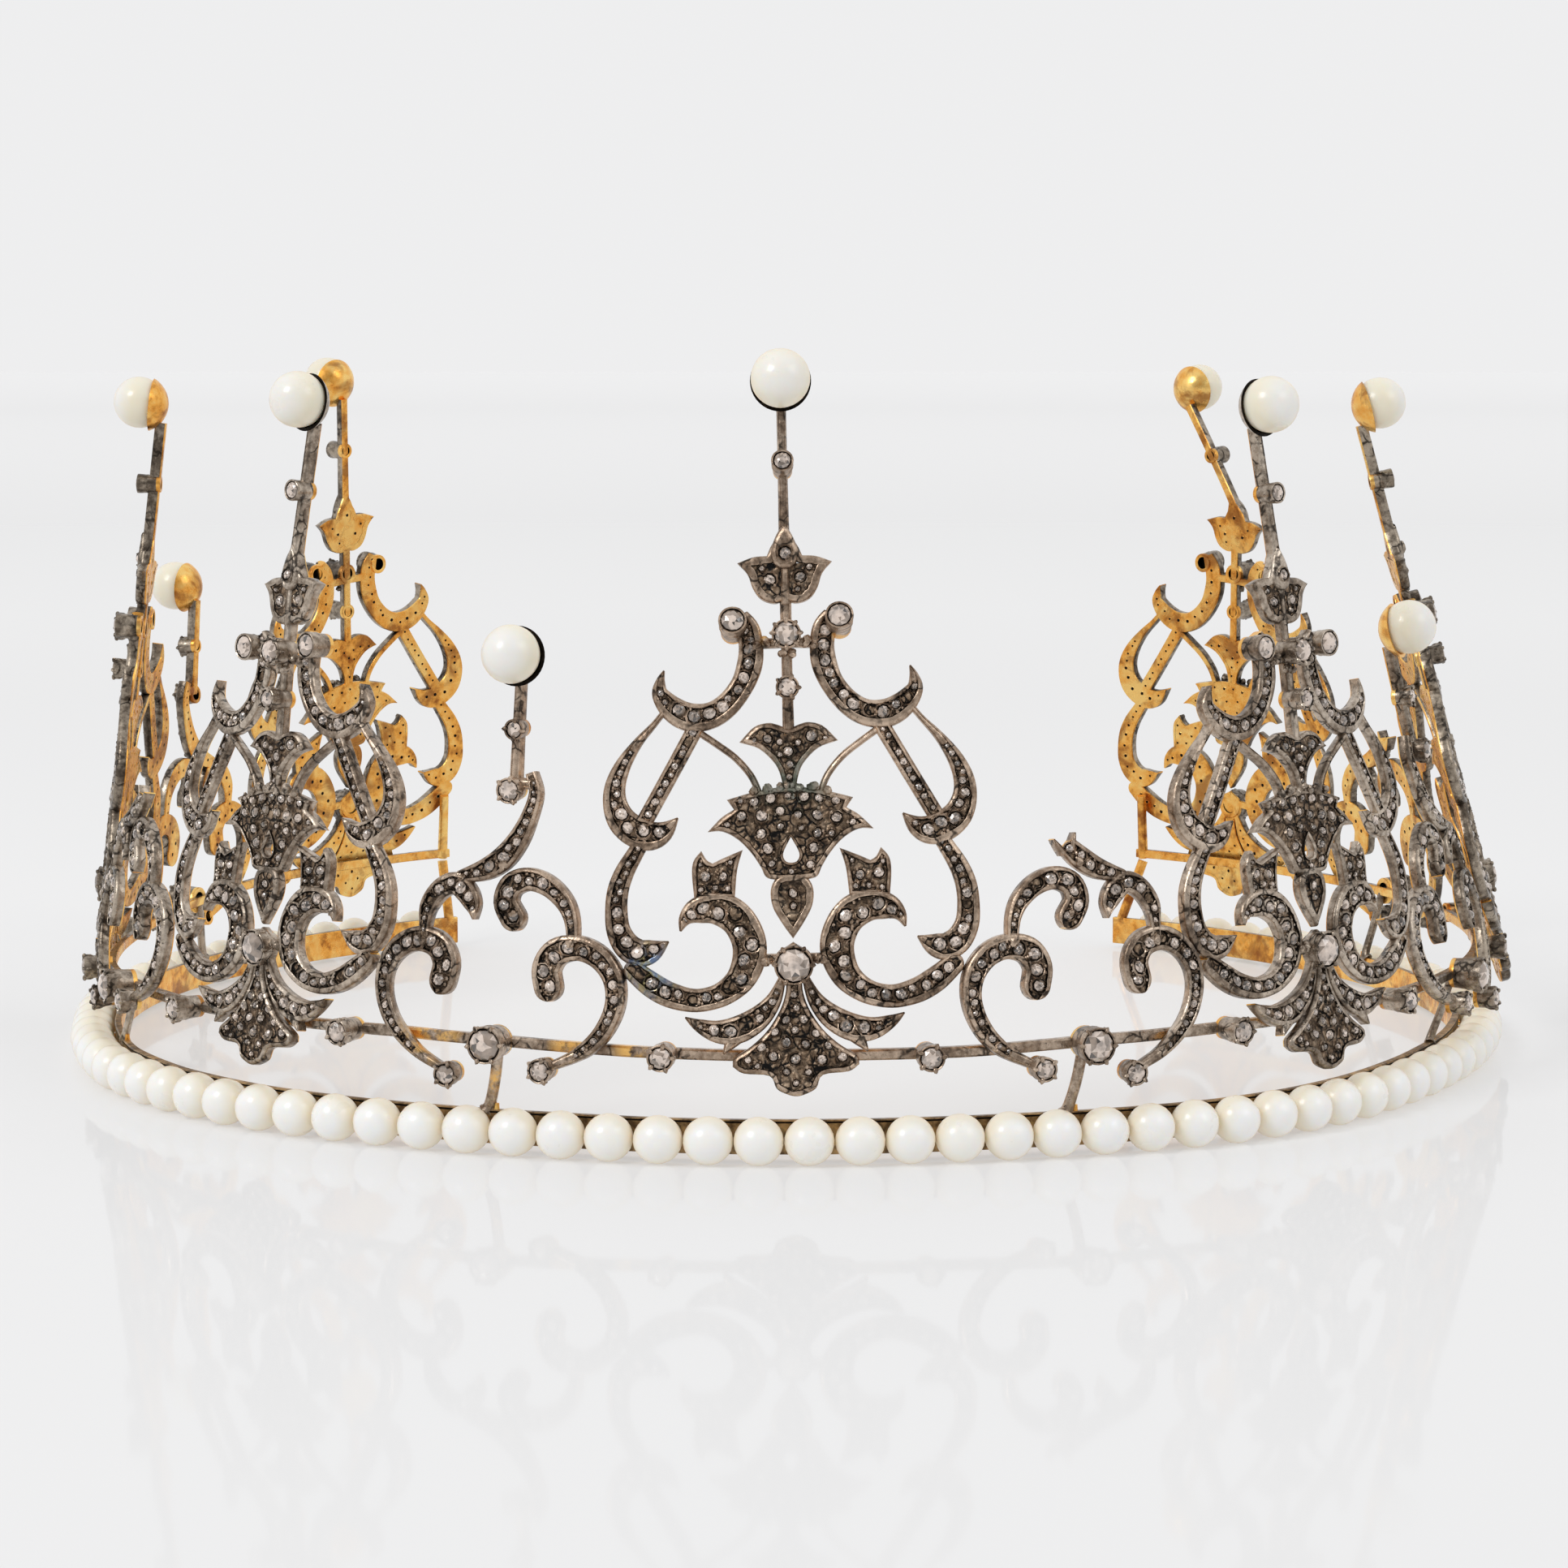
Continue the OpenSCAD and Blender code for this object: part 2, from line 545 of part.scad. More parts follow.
module palmette_stones() {
    color(stone) for (p = palmettes) {
        place_palmette(p) for (c = collets_of(p)) {
            cut_stone(lift([c], p)[0], c[2], c[3], droop_of(c));
        }
    }
}

module spray_stones() {
    color(stone) for (s = sprays) {
        place_spray(s) for (c = spray_collets(s)) {
            cut_stone(c, c[2], c[3], droop_of(c));
        }
    }
}

module rail_stone(radius, stand) {
    r = stone_radius(radius);
    translate([0, -plate_thickness / 2 - stand + 0.58, 0]) rotate([90, 0, 0]) rotate(22.5) {
        cylinder(h = 0.55, r = r, $fn = 8);
        translate([0, 0, 0.55]) cylinder(h = r * 0.28, r1 = r, r2 = r * 0.76, $fn = 8);
        translate([0, 0, 0.55 + r * 0.28]) cylinder(h = r * 0.16, r1 = r * 0.76, r2 = r * 0.42, $fn = 8);
    }
}

module rail_stones() {
    color(stone) for (c = rail_collets) {
        on_rail(c[0]) rail_stone(c[1], c[2]);
    }
}

band();
band_pearls();
gallery_rail();
color(silver) palmette(palmettes[0]);  // palmette_left_3
color(silver) palmette(palmettes[1]);  // palmette_left_2
color(silver) palmette(palmettes[2]);  // palmette_left_1
color(silver) palmette(palmettes[3]);  // palmette_front
color(silver) palmette(palmettes[4]);  // palmette_right_1
color(silver) palmette(palmettes[5]);  // palmette_right_2
color(silver) palmette(palmettes[6]);  // palmette_right_3
color(silver) spray(sprays[0]);  // spray_left_3
color(silver) spray(sprays[1]);  // spray_left_2
color(silver) spray(sprays[2]);  // spray_left_1
color(silver) spray(sprays[3]);  // spray_right_1
color(silver) spray(sprays[4]);  // spray_right_2
color(silver) spray(sprays[5]);  // spray_right_3
color(pearl) palmette_pearl(palmettes[0]);  // top_pearl_left_3
color(pearl) palmette_pearl(palmettes[1]);  // top_pearl_left_2
color(pearl) palmette_pearl(palmettes[2]);  // top_pearl_left_1
color(pearl) palmette_pearl(palmettes[3]);  // top_pearl_front
color(pearl) palmette_pearl(palmettes[4]);  // top_pearl_right_1
color(pearl) palmette_pearl(palmettes[5]);  // top_pearl_right_2
color(pearl) palmette_pearl(palmettes[6]);  // top_pearl_right_3
color(pearl) spray_pearl(sprays[0]);  // spray_pearl_left_3
color(pearl) spray_pearl(sprays[2]);  // spray_pearl_left_1
color(pearl) spray_pearl(sprays[4]);  // spray_pearl_right_2
palmette_stones();
spray_stones();
rail_stones();
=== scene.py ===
import bpy, bmesh, math, random
from mathutils import Matrix, Vector, noise


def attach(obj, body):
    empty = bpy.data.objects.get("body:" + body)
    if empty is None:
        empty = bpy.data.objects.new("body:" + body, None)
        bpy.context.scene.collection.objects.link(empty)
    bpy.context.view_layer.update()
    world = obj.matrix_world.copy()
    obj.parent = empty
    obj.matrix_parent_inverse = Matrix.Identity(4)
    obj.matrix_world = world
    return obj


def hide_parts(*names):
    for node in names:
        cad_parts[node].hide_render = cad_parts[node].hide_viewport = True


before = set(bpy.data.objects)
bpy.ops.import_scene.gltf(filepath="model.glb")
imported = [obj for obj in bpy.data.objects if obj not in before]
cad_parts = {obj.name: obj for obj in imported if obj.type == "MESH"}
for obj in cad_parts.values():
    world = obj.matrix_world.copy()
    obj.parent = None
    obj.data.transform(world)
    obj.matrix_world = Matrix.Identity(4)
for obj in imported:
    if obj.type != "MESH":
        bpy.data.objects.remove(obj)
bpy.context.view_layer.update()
mm = 0.001
print("frame loaded:", len(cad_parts), "nodes")

# The camera stands where the photograph's did, worked out from the band pearls
# Millimetres and degrees, and metres for the clip
camera = {"place": (0.0, -490.0, 83.1), "down": 6.23, "lens": 94.32, "sensor": 36.0, "clip": (0.01, 20)}


def addObject(name, data):
    thing = bpy.data.objects.new(name, data)
    bpy.context.scene.collection.objects.link(thing)
    return thing


def makeCamera(c):
    data = bpy.data.cameras.new("camera")
    data.lens, data.sensor_width, data.sensor_fit = c["lens"], c["sensor"], "HORIZONTAL"
    data.clip_start, data.clip_end = c["clip"]
    eye = addObject("camera", data)
    eye.location = [v * mm for v in c["place"]]
    eye.rotation_euler = (math.radians(90 - c["down"]), 0, 0)
    bpy.context.scene.camera = eye


makeCamera(camera)

# Sizes that several pieces share, in millimetres, as in the part's source
ring = {
    "pearlLine": 83.0, "plate": 82.8, "thick": 1.3, "shift": 1.2, "pivot": 11.0, "pitch": 5.12,
    "eachSide": 41, "inset": 2.64, "bandThick": 0.8, "bandFoot": 0.6, "bandTop": 4.15,
    "railOuter": 81.55, "railInner": 80.55, "railHeight": 11.4, "railRise": 0.6, "railEnd": 144.5,
    # the band bulges out of its circle beside the front, and the rail sags on the left: angle, millimetres
    "bulges": [(-146, 0), (-96, -0.6), (-80, -0.9), (-71, 0.2), (-62, 1.7), (-52, 2.4), (-42, 2.2),
               (-34, 1.3), (-26, 0.3), (-17, -0.3), (-8, 0), (10, 0.1), (18, 0.4), (26, 1.4), (33, 2.2),
               (40, 2.3), (47, 1.7), (54, 0.8), (62, 0.1), (74, -0.1), (90, 0), (146, 0)],
    "dips": [(-144.5, 0), (-122, -0.3), (-106, -1.4), (-95, -2.2), (-80, -2.4), (-68, -1.5), (-54, -1.1),
             (-42, -0.5), (-30, 0), (-22, 0), (-12, -0.4), (0, -0.5), (12, -0.4), (22, 0)]}


def clamp(v, low=0.0, high=1.0):
    return max(low, min(high, v))


def bend(x):
    return ring["plate"] - math.sqrt(ring["plate"] ** 2 - x * x)


def lookup(at, table):
    if at <= table[0][0]:
        return table[0][1]
    for (a, v), (b, w) in zip(table, table[1:]):
        if at <= b:
            return v + (w - v) * (at - a) / (b - a)
    return table[-1][1]


def ringRadius(angle):
    return ring["pearlLine"] + lookup(angle, ring["bulges"])


halfStep = math.degrees(ring["pitch"] / ring["pearlLine"] / 2)


def pearlSide(way):
    # angles of the band pearls on one side, each a pitch on from the last
    at, out = way * halfStep, []
    for _ in range(ring["eachSide"]):
        out.append(at)
        at += way * math.degrees(ring["pitch"] / ringRadius(at))
    return out


def railLevel(angle):
    slope = math.sin(math.radians(ring["railRise"]))
    rise = slope * ring["pearlLine"] * (1 - math.cos(math.radians(angle)))
    return ring["railHeight"] + rise + lookup(angle, ring["dips"])


def move(x, y, z):
    return Matrix.Translation((x, y, z))


def turn(degrees, axis):
    return Matrix.Rotation(math.radians(degrees), 4, axis)


def swell(x, y, z):
    return Matrix.Diagonal((x, y, z, 1))


def anyTurn(dice, axis="Z"):
    return Matrix.Rotation(dice.uniform(0, 6.28), 4, axis)


def galleryTurn(angle):
    # to an angle of the gallery, which stands a little to the right of the band's middle
    return move(ring["shift"], 0, 0) @ turn(angle, "Z")


def standUp(angle, lean, tilt, height, outward=0.0, way=1):
    # from a plate's own drawing to its place on the ring, mirrored where the way is minus one
    place = galleryTurn(angle) @ move(0, -ring["plate"] - outward, height)
    return place @ turn(-lean, "X") @ turn(tilt, "Y") @ move(0, 0, -ring["pivot"]) @ swell(way, 1, 1)


class Mixer:
    # a small helper that adds nodes to one material and wires them
    def __init__(self, name):
        self.material = bpy.data.materials.new(name)
        self.material.use_nodes = True
        self.nodes, self.links = self.material.node_tree.nodes, self.material.node_tree.links
        self.shader = self.nodes["Principled BSDF"]
        self.coordinates = self.nodes.new("ShaderNodeTexCoord").outputs
        self.place = self.coordinates["Object"]

    def feed(self, target, value):
        # a number or a colour is set on the socket itself, and a node's output is wired to it
        if isinstance(value, bpy.types.NodeSocket):
            self.links.new(value, target)
        else:
            target.default_value = (*value, 1) if isinstance(value, tuple) else value

    def add(self, kind, inputs):
        n = self.nodes.new("ShaderNode" + kind)
        for name, value in inputs.items():
            self.feed(n.inputs[name], value)
        return n

    def noiseNode(self, scale, detail, rough=0.5, distort=0.0):
        return self.add("TexNoise", {"Vector": self.place, "Scale": scale, "Detail": detail,
                                     "Roughness": rough, "Distortion": distort})

    def noise(self, scale, detail, rough=0.55, distort=0.0):
        return self.noiseNode(scale, detail, rough, distort).outputs["Fac"]

    def cracks(self, scale, place):
        # nothing on the edges of a cell pattern, more toward each cell's middle
        n = self.add("TexVoronoi", {"Scale": scale, "Vector": place})
        n.feature = "DISTANCE_TO_EDGE"
        return n.outputs["Distance"]

    def warped(self, scale, amount):
        # the object's coordinates pushed about by a noise, so that no pattern is regular
        push = self.nodes.new("ShaderNodeVectorMath")
        push.operation = "MULTIPLY_ADD"
        self.feed(push.inputs[0], self.noiseNode(scale, 2).outputs["Color"])
        self.feed(push.inputs[1], [amount * mm] * 3)
        self.feed(push.inputs[2], self.place)
        return push.outputs["Vector"]

    def ramp(self, value, stops, colours):
        n = self.add("ValToRGB", {"Fac": value})
        while len(n.color_ramp.elements) < len(stops):
            n.color_ramp.elements.new(0.5)
        for spot, at, colour in zip(n.color_ramp.elements, stops, colours):
            spot.position, spot.color = at, (*colour, 1)
        return n.outputs["Color"]

    def blend(self, amount, a, b):
        n = self.nodes.new("ShaderNodeMix")
        n.data_type = "RGBA"
        colourSockets = [s for s in n.inputs if s.type == "RGBA"]
        for target, value in zip((n.inputs["Factor"], *colourSockets), (amount, a, b)):
            self.feed(target, value)
        return [s for s in n.outputs if s.type == "RGBA"][0]

    def maths(self, kind, *values):
        n = self.nodes.new("ShaderNodeMath")
        n.operation = kind
        for target, value in zip(n.inputs, values):
            self.feed(target, value)
        return n.outputs[0]

    def times(self, a, b):
        return self.maths("MULTIPLY", a, b)

    def weighed(self, a, share, b, otherShare):
        return self.maths("MULTIPLY_ADD", a, share, self.times(b, otherShare))

    def spread(self, value, low, high, toLow, toHigh):
        n = self.add("MapRange", {"From Min": low, "From Max": high, "To Min": toLow, "To Max": toHigh,
                                  "Value": value})
        return n.outputs["Result"]

    def away(self, spot, radius):
        # nothing at a spot of the object, one a radius away
        n = self.nodes.new("ShaderNodeVectorMath")
        n.operation = "DISTANCE"
        self.feed(n.inputs[0], self.place)
        self.feed(n.inputs[1], [v * mm for v in spot])
        return self.spread(n.outputs["Value"], 0.0, radius * mm, 0.0, 1.0)

    def near(self, spot, radius):
        # one at a spot of the object, nothing a radius away
        return self.spread(self.away(spot, radius), 0.4, 1.0, 1.0, 0.0)

    def behind(self, low, high):
        # nothing at the low y and before it, one at the high y
        n = self.add("SeparateXYZ", {"Vector": self.place})
        return self.spread(n.outputs["Y"], low * mm, high * mm, 0.0, 1.0)

    def latitude(self, low, high):
        # one below the low height of the UV map, nothing over the high one
        n = self.add("SeparateXYZ", {"Vector": self.coordinates["UV"]})
        return self.spread(n.outputs["Y"], low, high, 1.0, 0.0)

    def bump(self, value, strength, distance, under=None):
        n = self.add("Bump", {"Strength": strength, "Distance": distance * mm, "Height": value})
        if under:
            self.feed(n.inputs["Normal"], under)
        return n.outputs["Normal"]

    def give(self, settings):
        # puts numbers, colours or node outputs on the shader's own sockets
        for name, value in settings.items():
            self.feed(self.shader.inputs[name], value)

    def gloss(self, grain, detail, low, high, roughness, rough=0.55):
        # roughness that a noise varies between two values
        self.give({"Roughness": self.spread(self.noise(grain, detail, rough), low, high, *roughness)})


black, white = (0, 0, 0), (1, 1, 1)
# tones go from the deepest to the lightest; a solder patch is a spot, a radius and three tones
silverLook = {
    "stops": (0.34, 0.47, 0.62), "metal": 0.85, "rough": (0.22, 0.42),
    "frontTones": ((0.050, 0.033, 0.023), (0.262, 0.184, 0.128), (0.61, 0.47, 0.355)),
    "coolTones": ((0.048, 0.040, 0.031), (0.225, 0.195, 0.158), (0.60, 0.56, 0.49)),
    # the side tones are darker partly as tarnish and partly as painted shade
    "sideTones": ((0.03, 0.022, 0.016), (0.125, 0.098, 0.073), (0.45, 0.38, 0.30)),
    "front": (0.0, -81.0, 38.0), "frontReach": 62, "sideFrom": -46, "sideTo": -22, "coolShare": 0.55,
    "speck": (0.05, 0.04, 0.033), "dirt": (0.022, 0.017, 0.013), "worn": (0.88, 0.52, 0.16),
    "solder": [((-13.2, -79.6, 19.4), 3.6, (0.15, 0.21, 0.34), (0.28, 0.32, 0.35), (0.34, 0.30, 0.14)),
               ((0.6, -78.5, 38.0), 5.2, (0.09, 0.095, 0.075), (0.17, 0.18, 0.14), (0.26, 0.25, 0.21))],
    "goldWorn": [((-36.0, -71.9, 11.5), 4.2), ((-21.7, -77.8, 11.4), 2.6), ((-15.5, -79.4, 11.4), 2.2),
                 ((-29.0, -75.4, 7.0), 2.0), ((-1.8, -76.0, 53.2), 1.4), ((5.6, -76.0, 53.4), 1.3)]}
goldLook = {"stops": (0.38, 0.48, 0.62), "metal": 0.92, "rough": (0.20, 0.40),
            "tones": ((0.34, 0.115, 0.024), (0.90, 0.44, 0.086), (0.98, 0.66, 0.22)),
            "stain": (0.33, 0.13, 0.035), "stainDepth": 0.8}
bronzeLook = {"tones": ((0.13, 0.082, 0.040), (0.52, 0.34, 0.155)), "metal": 0.7, "rough": (0.3, 0.5)}
darkLook = {"tones": ((0.003, 0.0025, 0.002), (0.024, 0.017, 0.012)), "metal": 0.9, "specular": 0.15,
            "rough": (0.35, 0.65)}
bedLook = {"crack": (0.004, 0.003, 0.0025), "stops": (0.40, 0.50, 0.64), "metal": 0.75,
           "rough": (0.28, 0.55),
           "tones": ((0.058, 0.037, 0.023), (0.225, 0.152, 0.096), (0.50, 0.375, 0.265))}
# the edge colour is a painted warm sheen round each pearl's sides
bandPearlLook = {"cool": (0.95, 0.945, 0.925), "warm": (0.96, 0.925, 0.87), "edge": (0.975, 0.865, 0.715)}
stemPearlLook = {"cool": (0.855, 0.85, 0.825), "warm": (0.855, 0.835, 0.785), "edge": (0.85, 0.80, 0.655)}
pearlGloss = {"Subsurface Weight": 0.6, "Subsurface Radius": [0.0025, 0.0020, 0.0015],
              "Subsurface Scale": 1.0, "Specular IOR Level": 0.5,
              "Coat Weight": 0.45, "Coat Roughness": 0.16, "Coat IOR": 1.5,
              "Sheen Weight": 0.75, "Sheen Roughness": 0.35, "Sheen Tint": (1.0, 0.80, 0.55)}
# lit, middle and shaded copies of one stone finish, painted light and shade set facet by facet
stoneLooks = {"bright": (0.76, 0.63, 0.54), "middle": (0.34, 0.265, 0.21), "shadedFacet": (0.075, 0.057, 0.044)}
stoneGloss = {"IOR": 1.9, "Transmission Weight": 0.12, "Coat Weight": 0.6, "Coat Roughness": 0.02}


def tarnishedSilver(look):
    m = Mixer("tarnishedSilver")
    tone = m.weighed(m.noise(1300, 6, 0.65), 0.5, m.noise(170, 5, 0.6), 0.55)
    kinds = look["frontTones"], look["coolTones"], look["sideTones"]
    frontTone, coolTone, sideShadedTone = (m.ramp(tone, look["stops"], tones) for tones in kinds)
    # beside the front the tarnish is greyer, and at the sides it is browner and darker: partly tarnish,
    # partly painted shade
    grey = m.blend(look["coolShare"], frontTone, coolTone)
    colour = m.blend(m.near(look["front"], look["frontReach"]), grey, frontTone)
    colour = m.blend(m.behind(look["sideFrom"], look["sideTo"]), colour, sideShadedTone)
    # dirt gathers in thin broken lines
    lines = m.spread(m.cracks(520, m.warped(700, 1.6)), 0.025, 0.085, 1.0, 0.0)
    dirt = m.times(lines, m.spread(m.noise(330, 3), 0.47, 0.57, 0.0, 0.9))
    specks = m.ramp(m.noise(3400, 3, 0.7), (0.61, 0.70), (black, white))
    colour = m.blend(dirt, m.blend(specks, colour, look["speck"]), look["dirt"])
    worn = 0.0
    for spot, radius in look["goldWorn"]:
        worn = m.maths("MAXIMUM", worn, m.near(spot, radius))
    worn = m.times(worn, m.spread(m.noise(560, 4, 0.6), 0.40, 0.52, 0.0, 1.0))
    colour = m.blend(worn, colour, look["worn"])
    for spot, radius, *tones in look["solder"]:
        patch = m.times(m.near(spot, radius), m.spread(m.noise(420, 3, 0.6), 0.34, 0.46, 0.0, 1.0))
        colour = m.blend(patch, colour, m.ramp(m.noise(760, 3, 0.6), (0.40, 0.5, 0.60), tones))
    m.give({"Base Color": colour, "Metallic": look["metal"],
            "Normal": m.bump(m.noise(2400, 5, 0.6), 0.4, 0.06, m.bump(m.noise(420, 3), 0.5, 0.3))})
    m.gloss(900, 5, 0.35, 0.65, look["rough"], 0.6)
    return m.material


def yellowGold(look):
    m = Mixer("yellowGold")
    tone = m.weighed(m.noise(800, 5, 0.6), 0.45, m.noise(130, 4, 0.6), 0.6)
    # brown stains, soft at the edge
    stain = m.ramp(m.noise(210, 4, 0.65, 0.6), (0.50, 0.62), (black, [look["stainDepth"]] * 3))
    m.give({"Base Color": m.blend(stain, m.ramp(tone, look["stops"], look["tones"]), look["stain"]),
            "Metallic": look["metal"],
            "Normal": m.bump(m.noise(1900, 4, 0.6), 0.3, 0.05, m.bump(m.noise(260, 3), 0.5, 0.35))})
    m.gloss(700, 4, 0.35, 0.65, look["rough"], 0.6)
    return m.material


def darkBronze(look):
    # the band's outside behind the pearls
    m = Mixer("darkBronze")
    tone = m.weighed(m.noise(1100, 4, 0.6), 0.6, m.noise(160, 3), 0.4)
    m.give({"Base Color": m.ramp(tone, (0.42, 0.60), look["tones"]), "Metallic": look["metal"],
            "Normal": m.bump(m.noise(1800, 4, 0.6), 0.4, 0.06)})
    m.gloss(900, 3, 0.3, 0.7, look["rough"])
    return m.material


def seatDirtAndPaintedShade(look):
    # near-black for the stones' seats and every hollow: partly dirt, partly painted shade
    m = Mixer("seatDirtAndPaintedShade")
    tone = m.weighed(m.noise(3000, 5, 0.7), 0.6, m.noise(900, 3), 0.4)
    m.give({"Base Color": m.ramp(tone, (0.40, 0.66), look["tones"]), "Metallic": look["metal"],
            "Specular IOR Level": look["specular"], "Normal": m.bump(m.noise(2800, 5, 0.7), 0.8, 0.1)})
    m.gloss(1500, 3, 0.3, 0.7, look["rough"])
    return m.material


def stoneBed(look):
    # the metal between the stones, cut up into grains and near-black in every crack: partly dirt, partly
    # painted shade
    m = Mixer("stoneBed")
    edge = m.cracks(1150, m.warped(1500, 0.5))
    tone = m.weighed(m.noise(1700, 4, 0.65), 0.6, m.noise(350, 3), 0.4)
    broken = m.spread(m.noise(420, 3), 0.42, 0.54, 0.45, 1.0)
    cracked = m.times(m.spread(edge, 0.06, 0.19, 1.0, 0.0), broken)
    grainy = m.bump(m.noise(2600, 4, 0.7), 0.5, 0.06)
    m.give({"Base Color": m.blend(cracked, m.ramp(tone, look["stops"], look["tones"]), look["crack"]),
            "Metallic": look["metal"],
            "Normal": m.bump(m.spread(edge, 0.0, 0.3, 0.0, 1.0), 0.9, 0.16, grainy)})
    m.gloss(1500, 3, 0.3, 0.7, look["rough"])
    return m.material


def lustrePearl(name, look):
    m = Mixer(name)
    tone = m.weighed(m.noise(75, 3, 0.5), 0.75, m.noise(600, 4, 0.6), 0.25)
    colour = m.ramp(tone, (0.40, 0.58), (look["warm"], look["cool"]))
    # white in front and creamier round the sides, by the latitude of the pearl: a painted warm sheen at the
    # edges
    m.give({"Base Color": m.blend(m.latitude(0.56, 0.80), colour, look["edge"]), **pearlGloss,
            "Normal": m.bump(m.noise(260, 3, 0.5), 0.12, 0.12, m.bump(m.noise(2400, 3), 0.05, 0.03))})
    m.gloss(300, 3, 0.3, 0.7, (0.26, 0.36))
    return m.material


def roseCutStone(name, base):
    m = Mixer(name)
    tone = m.weighed(m.noise(900, 4, 0.6), 0.7, m.noise(260, 2), 0.3)
    tones = [[min(1.0, v * share) for v in base] for share in (0.5, 1.0, 1.3)]
    m.give({"Base Color": m.ramp(tone, (0.38, 0.50, 0.62), tones), **stoneGloss,
            "Normal": m.bump(m.noise(1600, 3), 0.2, 0.03)})
    m.gloss(1200, 3, 0.3, 0.7, (0.04, 0.18))
    return m.material


silver, dark, gold, bed = (make(look) for make, look in (
    (tarnishedSilver, silverLook), (seatDirtAndPaintedShade, darkLook), (yellowGold, goldLook), (stoneBed, bedLook)))
bronze = darkBronze(bronzeLook)
bandPearlFinish = lustrePearl("creamPearl", bandPearlLook)
stemPearlFinish = lustrePearl("whitePearl", stemPearlLook)
metals = [silver, dark, gold, bed]  # a metal piece's material indices 0 to 3
# index 1 is the near-black of seats and hollows, partly dirt and partly painted shade
onSilver, onDirtAndShade, onGold, onBed = 0, 1, 2, 3
paintedFacetShades = [roseCutStone("stone" + name.capitalize(), base) for name, base in stoneLooks.items()]
print("materials ready")


# Plate pieces are drawn in millimetres: x across, z up, y depth with the front at minus
vertKind, edgeKind, faceKind = bmesh.types.BMVert, bmesh.types.BMEdge, bmesh.types.BMFace


def only(kind, geom):
    return [g for g in geom if isinstance(g, kind)]


def meshOf(bm, name):
    mesh = bpy.data.meshes.new(name)
    bm.to_mesh(mesh)
    bm.free()
    return mesh


def carry(bm, matrix):
    # moves a shape, and turns its faces round again where the matrix mirrors it
    if matrix is not None:
        bmesh.ops.transform(bm, matrix=matrix, verts=bm.verts)
        if matrix.determinant() < 0:
            bmesh.ops.reverse_faces(bm, faces=bm.faces)


def mark(bm, index):
    for f in bm.faces:
        f.material_index = index


def pour(target, source, matrix=None):
    # adds one bmesh to another, moved by the matrix
    bmesh.ops.recalc_face_normals(source, faces=source.faces)
    carry(source, matrix)
    scratch = meshOf(source, "scratch")
    target.from_mesh(scratch)
    bpy.data.meshes.remove(scratch)


def template(build):
    # a small shape kept as a mesh, for stamping many times
    bm = bmesh.new()
    build(bm)
    bmesh.ops.recalc_face_normals(bm, faces=bm.faces)
    return meshOf(bm, "template")


def stamp(target, shape, matrix):
    copy = shape.copy()
    copy.transform(matrix)
    target.from_mesh(copy)
    bpy.data.meshes.remove(copy)


def finish(name, bm, materials, replaced=(), matrix=None, flat=False, sharp=40):
    carry(bm, matrix)
    bmesh.ops.scale(bm, vec=(mm, mm, mm), verts=bm.verts)
    mesh = meshOf(bm, name)
    mesh.polygons.foreach_set("use_smooth", [not flat] * len(mesh.polygons))
    if not flat:
        mesh.set_sharp_from_angle(angle=math.radians(sharp))
    for m in materials:
        mesh.materials.append(m)
    piece = addObject(name, mesh)
    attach(piece, "root")
    if replaced:
        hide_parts(*replaced)
    return piece


def between(a, b, c, d, t):
    # the smooth curve through b and c, which also looks at the points before and after them
    square, cube = 2 * a - 5 * b + 4 * c - d, 3 * b - a - 3 * c + d
    return 0.5 * (2 * b + (c - a) * t + square * t * t + cube * t ** 3)


def smoothRows(rows, steps):
    last, out = len(rows) - 1, []
    for i in range(last):
        four = rows[max(i - 1, 0)], rows[i], rows[i + 1], rows[min(i + 2, last)]
        for j in range(steps):
            out.append(tuple(between(*(r[k] for r in four), j / steps) for k in range(len(rows[0]))))
    return out + [tuple(rows[last])]


def roundedEnd(rows, atStart=True):
    # adds stations past an end so that it closes in a half round
    rows = list(rows) if atStart else list(reversed(rows))
    (x, z, w), (x2, z2, _) = rows[0], rows[1]
    along = Vector((x - x2, z - z2)).normalized()
    cap = []
    for share in scroll["capShares"]:
        half = max(scroll["tipWidth"], w * math.sqrt(1 - share * share))
        cap.append((x + along.x * w * share, z + along.y * w * share, half))
    rows = cap + rows
    return rows if atStart else list(reversed(rows))


def sweep(bm, stations, profileAt, closed=False):
    # carries a ring of edges from station to station by extruding it, and puts each new ring on its profile
    spot = bm.verts.layers.int.new("spot")
    loop = []
    for k, p in enumerate(profileAt(0)[0]):
        v = bm.verts.new(p)
        v[spot] = k
        loop.append(v)
    edges = [bm.edges.new((loop[k], loop[(k + 1) % len(loop)])) for k in range(len(loop))]
    firstEdges = list(edges)
    for i in range(1, len(stations)):
        points, marks = profileAt(i)
        made = bmesh.ops.extrude_edge_only(bm, edges=edges)["geom"]
        fresh = set(only(vertKind, made))
        for v in fresh:
            v.co = points[v[spot]]
        for f in only(faceKind, made):
            a, b = sorted({v[spot] for v in f.verts})
            f.material_index = marks[b if b - a > 1 else a]
        edges = [e for e in only(edgeKind, made) if e.verts[0] in fresh and e.verts[1] in fresh]
    if closed:
        bmesh.ops.bridge_loops(bm, edges=edges + firstEdges)
    else:
        bmesh.ops.holes_fill(bm, edges=firstEdges + edges)
    bm.verts.layers.int.remove(spot)


